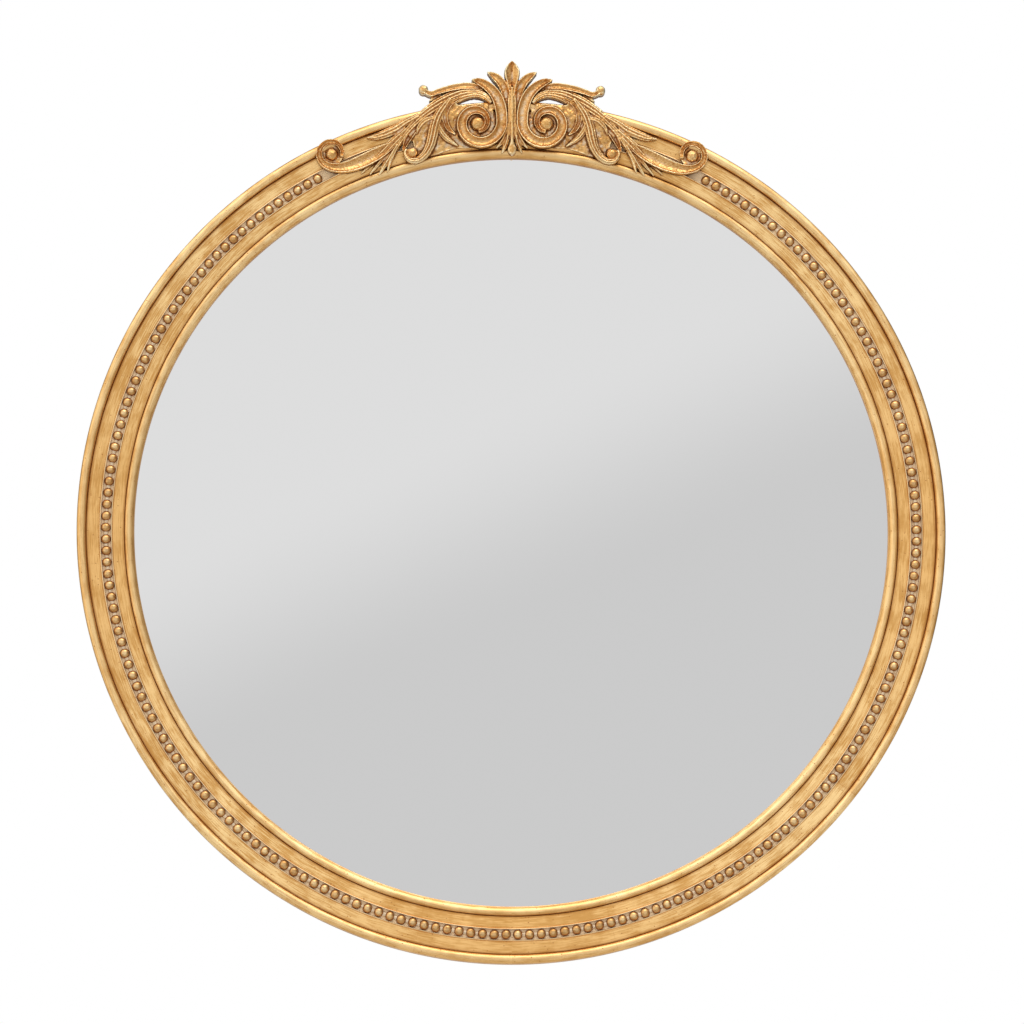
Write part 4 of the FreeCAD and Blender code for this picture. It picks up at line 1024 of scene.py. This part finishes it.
OUT, WALLWARD, UP = Vector((1, 0, 0)), Vector((0, 1, 0)), Vector((0, 0, 1))


def zinc(name, dark, light):
    finish = Finish(name)
    spangle = finish.noise(finish.coordinates(), 240.0, 4.0, 0.6)
    finish.give(Base_Color=finish.blend(spangle, dark, light), Metallic=1.0,
                Roughness=finish.stretch(spangle, 0.3, 0.7, 0.28, 0.46))
    finish.bump(spangle, 0.0001, 0.3)
    return finish.material


def rubber():
    finish = Finish("black_rubber")
    dust = finish.noise(finish.coordinates(), 150.0, 4.0)
    dusty = finish.stretch(dust, 0.5, 0.8, 0.0, 0.5)
    colour = finish.blend(dusty, (0.02, 0.02, 0.02, 1), (0.09, 0.088, 0.085, 1))
    finish.give(Base_Color=colour, Roughness=0.72)
    finish.bump(dust, 0.0001, 0.5)
    return finish.material


def fit_hardware(m, h):
    """Clips, screws, bumpers, straps and D-rings, each in place of its plain solid."""
    metal = zinc("zinc_plate", (0.56, 0.57, 0.57, 1), (0.72, 0.73, 0.72, 1))
    passivated = zinc("yellow_passivate", (0.52, 0.47, 0.33, 1), (0.70, 0.64, 0.46, 1))
    back = Vector((0, -STAND_OFF, 0))
    plate_screw = screw_shape(PLATE_SCREW)

    spokes = [Vector((math.cos(turn), 0, math.sin(turn))) for turn in np.radians(np.arange(0, 360, 60))]
    rebate_wall = ring_lines(m)[-1] + SHELF
    clips = [(back, spoke, -WALLWARD, Vector((-spoke.z, 0, spoke.x))) for spoke in spokes]
    fitted("clips", clip_shape(h, rebate_wall), clips, metal, "retainer_clips")
    foot_middle = rebate_wall - h.clip_gap + h.clip_foot / 2
    seats = [back + spoke * foot_middle + WALLWARD * h.sheet for spoke in spokes]
    fitted("clip_fixings", plate_screw, standing(seats), passivated, "clip_screws")

    reach = (m.radius - BUMPER_INSET) * math.sqrt(0.5)
    corners = [back + Vector((x, 0, z)) * reach for x in (-1, 1) for z in (-1, 1)]
    fitted("bumpers", bumper_shape(), standing(corners), rubber(), "wall_bumpers")

    hinges = [Vector((x * h.hinge_x, -STAND_OFF, h.hinge_z)) for x in (-1, 1)]
    straps = [(hinge, UP, -WALLWARD, OUT) for hinge in hinges]
    fitted("straps", strap_shape(h), straps, metal, "hanger_straps")
    seats = [hinge + Vector((0, 2 * h.sheet, -drop)) for hinge in hinges for drop in STRAP_HOLES]
    fitted("strap_fixings", plate_screw, standing(seats), passivated, "hanger_screws")
    lean = math.radians(D_RING_LEAN)
    leaning = (OUT, Vector((0, math.cos(lean), math.sin(lean))), Vector((0, -math.sin(lean), math.cos(lean))))
    for name, hinge in zip(("d_ring_left", "d_ring_right"), hinges):
        bar = hinge + WALLWARD * (h.wire + HINGE_GAP + h.sheet)
        fitted(name + "_wire", d_ring_shape(h), [(bar,) + leaning], metal, name, name)

    seats = [back + Vector(on_rim(along, out, 1, m)) for along, out in CREST_SCREW_PLACES]
    fitted("crest_fixings", screw_shape(CREST_SCREW), standing(seats), passivated,
           "crest_screws")


def standing(seats):
    """Stands for lathe-turned pieces that point at the wall."""
    return [(seat, OUT, WALLWARD, UP) for seat in seats]


def fitted(name, shape, stands, material, replaced, body="root"):
    """Copies of one shape, as one piece; a stand is an origin and the three axes of the copy."""
    points, faces = shape
    blocks, rows = [], []
    for number, (origin, *axes) in enumerate(stands):
        axes = np.array(axes)
        order = -1 if np.linalg.det(axes) < 0 else 1
        blocks.append(points @ axes + np.array(origin))
        rows += [[index + number * len(points) for index in face[::order]] for face in faces]
    mesh = mesh_of(name, np.concatenate(blocks), rows, 35)
    mesh.materials.append(material)
    place(name, mesh, replaced, body)


def lathe(profile, segments):
    """Turns (radius, height) rows about the second axis; the first and last rows lie on it."""
    turns = around(segments)
    inner = profile[1:-1]
    points = [[radius * math.cos(turn), height, radius * math.sin(turn)] for radius, height in inner
              for turn in turns]
    faces = grid_quads(len(inner), segments, False, True)[:, ::-1].tolist()
    base = len(points)
    last = base - segments
    points += [[0, profile[0][1], 0], [0, profile[-1][1], 0]]
    for k in range(segments):
        after = (k + 1) % segments
        faces.append([k, after, base])
        faces.append([last + after, last + k, base + 1])
    return np.array(points), faces


def rounded_path(corners, radius, steps=6):
    """A line through corners in a plane, with each inner corner rounded."""
    corners = [np.array(point, float) for point in corners]
    path = [corners[0]]
    for before, here, after in zip(corners, corners[1:], corners[2:]):
        start = here + (before - here) / np.linalg.norm(before - here) * radius
        end = here + (after - here) / np.linalg.norm(after - here) * radius
        for u in np.linspace(0, 1, steps + 1):
            path.append(start * (1 - u) ** 2 + here * 2 * u * (1 - u) + end * u ** 2)
    return np.array(path + [corners[-1]])


def strip(path, halves, sheet):
    """A strip of sheet metal along a path, its edges slightly rounded; halves are its half widths."""
    ahead = np.gradient(path, axis=0)
    ahead /= np.linalg.norm(ahead, axis=1)[:, None]
    normal = np.stack([-ahead[:, 1], ahead[:, 0]], 1)
    soft = 0.22 * MM
    half = sheet / 2
    rim = ((1, half - soft, 0), (1, half, soft), (-1, half, soft), (-1, half - soft, 0),
           (-1, soft - half, 0), (-1, -half, soft), (1, -half, soft), (1, soft - half, 0))
    sections = [np.column_stack([path + normal * lift, side * (halves - inset)]) for side, lift, inset in rim]
    points = np.stack(sections, 1).reshape(-1, 3)
    faces = grid_quads(len(path), len(rim), False, True).tolist()
    faces.append(list(range(len(rim)))[::-1])
    faces.append(list(range(len(points) - len(rim), len(points))))
    return points, faces


def rounded_end(distances, half):
    """Half widths that close in a round end, for distances from that end."""
    inside = np.clip(1 - distances / half, 0, 1)
    return half * np.sqrt(np.clip(1 - inside ** 2, 0.03, 1))


def clip_shape(h, rebate_wall):
    """A round-ended foot on the ring, a bend into the rebate and a tongue on the backboard."""
    leg_line = rebate_wall - h.clip_gap
    outer = leg_line + h.clip_foot
    tongue = leg_line - h.clip_tongue
    low, high = -h.sheet / 2, BOARD_BACK - h.sheet / 2
    bends = rounded_path([(outer - 8 * MM, low), (leg_line - h.sheet / 2, low),
                          (leg_line - h.sheet / 2, high), (tongue + 4 * MM, high)], 1.1 * MM)
    foot = [(outer - 8 * MM * share, low) for share in np.linspace(0, 1, 14)[:-1] ** 2]
    tip = [(tongue + 4 * MM * share ** 2, high) for share in 1 - np.linspace(0, 1, 10)[1:]]
    path = np.concatenate([foot, bends, tip])
    corner = 3 * MM
    halves = np.minimum(rounded_end(outer - path[:, 0], h.clip_width / 2),
                        h.clip_width / 2 - corner + rounded_end(path[:, 0] - tongue, corner))
    return strip(path, halves, h.sheet)


def strap_shape(h):
    """Sheet folded back on itself round the D-ring's bar."""
    bore = h.wire + HINGE_GAP
    roll = bore + h.sheet / 2
    centre = -(bore + h.sheet)
    near, far = -h.sheet / 2, -1.5 * h.sheet
    rows = [(-STRAP_LENGTH * (1 - share), near) for share in np.linspace(0, 1, 40)[:-1] ** 2]
    meet = math.acos((far - centre) / roll)
    for turn in np.linspace(0, 2 * math.pi - meet, 22):
        rows.append((roll * math.sin(turn), centre + roll * math.cos(turn)))
    start = rows[-1][0]
    rows += [(start - (STRAP_LENGTH + start) * (1 - share ** 2), far)
             for share in 1 - np.linspace(0, 1, 40)[1:]]
    path = np.array(rows)
    return strip(path, rounded_end(path[:, 0] + STRAP_LENGTH, h.strap_width / 2), h.sheet)


def screw_shape(length):
    """A pan-head wood screw with a cross recess, its head towards the wall."""
    head, tall, shank, taper, recess = 3.6 * MM, 1.9 * MM, 1.7 * MM, 3.0 * MM, 0.9 * MM
    profile = [(0, tall - recess)]
    profile += [(head * share, tall - 0.45 * MM * share ** 2) for share in np.linspace(0.06, 0.86, 16)]
    profile += [(head * (0.86 + 0.14 * math.sin(turn)), tall - 0.33 * MM - 0.55 * MM * (1 - math.cos(turn)))
                for turn in np.linspace(0.2, math.pi / 2, 6)]
    profile += [(head, 0.0), (shank, 0.0), (shank, taper - length), (0.25 * MM, -length), (0, -length)]
    points, faces = lathe(profile, 64)
    top = (points[:, 1] > tall - 0.5 * MM) & (np.hypot(points[:, 0], points[:, 2]) < 2.1 * MM)
    arms = np.minimum(np.abs(points[:, 0]), np.abs(points[:, 2])) < 0.42 * MM
    points[top & arms, 1] -= recess
    return points, faces


def bumper_shape():
    """A moulded rubber foot with a rounded edge and a shallow dimple."""
    foot, tall, edge = 8.0 * MM, STAND_OFF, 1.3 * MM
    face = foot - 1.2 * MM
    profile = [(0, tall - 0.5 * MM), (1.2 * MM, tall - 0.5 * MM), (2.0 * MM, tall - 0.3 * MM),
               (2.5 * MM, tall), (face - 1.4 * MM, tall)]
    profile += [(face - edge * (1 - math.sin(turn)), tall - edge * (1 - math.cos(turn)))
                for turn in np.linspace(0.2, math.pi / 2, 7)]
    profile += [(foot - 0.3 * MM, 1.0 * MM), (foot, 0.6 * MM), (foot, 0.0), (0, 0.0)]
    return lathe(profile, 48)


def d_ring_shape(h):
    """Round wire bent to a D: the bar at the top and the bow below it."""
    half = h.strap_width / 2 + 1.0 * MM + h.wire
    spring = D_RING_DROP - half
    bow = [(half * math.cos(turn), -spring - half * math.sin(turn)) for turn in np.linspace(0, math.pi, 33)]
    right = rounded_path([(0, 0), (half, 0), bow[0]], 2.4 * MM, 8)[:-1]
    left = right[::-1] * (-1, 1)
    path = np.concatenate([right, bow, left[:-1]])
    ahead = np.roll(path, -1, 0) - np.roll(path, 1, 0)
    ahead /= np.linalg.norm(ahead, axis=1)[:, None]
    outward = np.stack([ahead[:, 1], -ahead[:, 0]], 1)
    sections = []
    for turn in around(16):
        wall = path + outward * h.wire * math.cos(turn)
        side = np.full(len(path), h.wire * math.sin(turn))
        sections.append(np.column_stack([wall[:, 0], side, wall[:, 1]]))
    return np.stack(sections, 1).reshape(-1, 3), grid_quads(len(path), len(sections), True, True).tolist()


# ---------------------------------------------------------------- stage

MIRRORED_VIEW = (0.0243, 0.1287)    # where the glass looks at its middle: across and up for each 1 forward
EDGE_SLANT = (0.407, 0.914)         # direction across and up that the soft edge in the glass falls along
LAMP_PLACE = (0.2, -1.5, 2.2)
LAMP_TARGET = (0, 0, 0.1)
LAMP_SIZE = (1.8, 1.0)
LAMP_POWER = 13.0


def make_camera(scene, s):
    turn, rise = math.radians(s.azimuth), math.radians(s.elevation)
    back = Vector((math.sin(turn) * math.cos(rise), -math.cos(turn) * math.cos(rise), math.sin(rise)))
    camera = bpy.data.objects.new("camera", bpy.data.cameras.new("camera"))
    scene.collection.objects.link(camera)
    camera.location = back * s.distance
    camera.rotation_mode = "QUATERNION"
    camera.rotation_quaternion = (-back).to_track_quat("-Z", "Y")
    camera.data.sensor_width = SENSOR
    camera.data.lens = s.focal * SENSOR / PICTURE
    camera.data.shift_x = FRAMING[0] / PICTURE
    camera.data.shift_y = FRAMING[1] / PICTURE
    camera.data.clip_end = 60.0
    scene.camera = camera
    scene.view_settings.view_transform = "Standard"


def make_floor(height):
    side = 6.0
    points = [(-side, -side, height), (side, -side, height), (side, side, height), (-side, side, height)]
    mesh = mesh_of("floor", points, [(0, 1, 2, 3)])
    floor = bpy.data.objects.new("floor", mesh)
    bpy.context.scene.collection.objects.link(floor)
    finish = Finish("pale_floor")
    finish.give(Base_Color=(0.86, 0.86, 0.86, 1), Roughness=0.8)
    mesh.materials.append(finish.material)


def room_tone(w, x, z, forward):
    """Colour and strength of the room: in front of the glass two pale tones with a soft slanting edge
    between them, and elsewhere white walls, brighter above and duller to the right and behind."""
    across = w.maths("SUBTRACT", w.maths("DIVIDE", x, forward), MIRRORED_VIEW[0])
    up = w.maths("SUBTRACT", w.maths("DIVIDE", z, forward), MIRRORED_VIEW[1])
    slant = w.maths("SUBTRACT", w.times(across, EDGE_SLANT[0]), w.times(up, EDGE_SLANT[1]))
    panel = w.blend(w.stretch(slant, -0.023, 0.0165), (0.842, 0.842, 0.842, 1), (0.688, 0.688, 0.688, 1))
    off_axis = w.maths("SQRT", w.maths("ADD", w.times(across, across), w.times(up, up)))
    behind = w.maths("LESS_THAN", forward, 0.05)
    outside = w.maths("MAXIMUM", behind, w.stretch(off_axis, 0.12, 0.30), clamp=True)
    glow = w.times(w.stretch(z, -0.8, -0.25, 0.4, 1.0), w.stretch(x, 0.8, 0.3, 0.55, 1.0))
    glow = w.maths("ADD", glow, w.stretch(z, 0.35, 0.85, 0.0, 0.95))
    glow = w.maths("ADD", glow, w.stretch(x, -0.35, -0.8, 0.0, 0.45))
    glow = w.times(glow, w.stretch(forward, -0.25, 0.75, 0.32, 1.0))
    strength = w.maths("MULTIPLY_ADD", outside, w.maths("SUBTRACT", glow, 1.0), 1.0)
    return w.blend(outside, panel, (1, 1, 1, 1)), strength


def make_world(scene):
    """White to the camera, the pale room to what shines, and a soft fill from above to all else."""
    world = bpy.data.worlds.new("studio")
    scene.world = world
    world.use_nodes = True
    w = Wires(world.node_tree)
    w.tree.nodes.clear()
    x, y, z = w.split(w.add("TexCoord")["Generated"])
    colour, strength = room_tone(w, x, z, w.times(y, -1.0))
    room = w.add("Background", {"Color": colour, "Strength": strength})[0]
    fill = w.add("Background", {"Color": (1, 1, 1, 1), "Strength": w.stretch(z, -0.6, 0.8, 0.42, 0.85)})[0]
    white = w.add("Background", {"Color": (1, 1, 1, 1)})[0]
    rays = w.add("LightPath")
    lit = w.add("MixShader", {0: rays["Is Glossy Ray"], 1: fill, 2: room})[0]
    plain = w.maths("MAXIMUM", rays["Is Camera Ray"], rays["Is Transmission Ray"])
    w.add("OutputWorld", {0: w.add("MixShader", {0: plain, 1: lit, 2: white})[0]})


def make_lamp():
    data = bpy.data.lights.new("top_light", "AREA")
    data.shape = "RECTANGLE"
    data.size, data.size_y = LAMP_SIZE
    data.energy = LAMP_POWER
    lamp = bpy.data.objects.new("top_light", data)
    bpy.context.scene.collection.objects.link(lamp)
    lamp.location = LAMP_PLACE
    lamp.rotation_mode = "QUATERNION"
    lamp.rotation_quaternion = (Vector(LAMP_TARGET) - Vector(LAMP_PLACE)).to_track_quat("-Z", "Y")


# ---------------------------------------------------------------- operators

class MIRROR_OT_stage(bpy.types.Operator):
    """Set up the camera, floor and light"""
    bl_idname = "mirror.stage"
    bl_label = "Stage"

    def execute(self, context):
        settings = context.scene.mirror_stage
        make_camera(context.scene, settings)
        make_floor(settings.floor)
        make_world(context.scene)
        make_lamp()
        return {"FINISHED"}


class MIRROR_OT_moulding(bpy.types.Operator):
    """Turn the gilt moulding that carries everything"""
    bl_idname = "mirror.moulding"
    bl_label = "Moulded ring"

    def execute(self, context):
        make_moulding(context.scene.mirror_moulding)
        return {"FINISHED"}


class MIRROR_OT_beads(bpy.types.Operator):
    """Lay the two strings of beads in their channel"""
    bl_idname = "mirror.beads"
    bl_label = "Bead strings"

    def execute(self, context):
        for side_name, side in (("left", -1), ("right", 1)):
            make_beads(context.scene.mirror_moulding, context.scene.mirror_beads, side_name, side)
        return {"FINISHED"}


class MIRROR_OT_crest(bpy.types.Operator):
    """Cast the ornaments of the crest"""
    bl_idname = "mirror.crest"
    bl_label = "Crest castings"

    def execute(self, context):
        make_crest(context)
        return {"FINISHED"}


class MIRROR_OT_glass(bpy.types.Operator):
    """Silver the glass and finish the board and packing behind it"""
    bl_idname = "mirror.glass"
    bl_label = "Glass and board"

    def execute(self, context):
        dress("mirror_glass", silvered_glass())
        dress("back_board", hardboard())
        dress("packing_sheet", packing_foam())
        return {"FINISHED"}


class MIRROR_OT_hardware(bpy.types.Operator):
    """Fit the clips, screws, bumpers, straps and D-rings on the back"""
    bl_idname = "mirror.hardware"
    bl_label = "Hardware"

    def execute(self, context):
        fit_hardware(context.scene.mirror_moulding, context.scene.mirror_hardware)
        return {"FINISHED"}


class MIRROR_PT_panel(bpy.types.Panel):
    """Builds the mirror piece by piece"""
    bl_idname = "MIRROR_PT_panel"
    bl_label = "Round gilt mirror"
    bl_space_type = "VIEW_3D"
    bl_region_type = "UI"
    bl_category = "Mirror"

    def draw(self, context):
        for operator in OPERATORS:
            self.layout.operator(operator.bl_idname)
        for name in SETTINGS:
            group = getattr(context.scene, name)
            column = self.layout.column(align=True)
            for key in group.bl_rna.properties.keys():
                if key not in ("rna_type", "name"):
                    column.prop(group, key)


# ---------------------------------------------------------------- registration

SETTINGS = {
    "mirror_moulding": MouldingSettings,
    "mirror_beads": BeadSettings,
    "mirror_crest": CrestSettings,
    "mirror_gilding": GildingSettings,
    "mirror_hardware": HardwareSettings,
    "mirror_stage": StageSettings,
}
OPERATORS = (MIRROR_OT_stage, MIRROR_OT_moulding, MIRROR_OT_beads, MIRROR_OT_crest, MIRROR_OT_glass,
             MIRROR_OT_hardware)


def register():
    for name, settings in SETTINGS.items():
        bpy.utils.register_class(settings)
        setattr(bpy.types.Scene, name, PointerProperty(type=settings))
    for operator in OPERATORS:
        bpy.utils.register_class(operator)
    bpy.utils.register_class(MIRROR_PT_panel)


def unregister():
    bpy.utils.unregister_class(MIRROR_PT_panel)
    for operator in reversed(OPERATORS):
        bpy.utils.unregister_class(operator)
    for name, settings in SETTINGS.items():
        delattr(bpy.types.Scene, name)
        bpy.utils.unregister_class(settings)


def main():
    register()
    bpy.ops.mirror.stage()
    bpy.ops.mirror.moulding()
    bpy.ops.mirror.beads()
    bpy.ops.mirror.crest()
    bpy.ops.mirror.glass()
    bpy.ops.mirror.hardware()


if __name__ == "__main__":
    main()
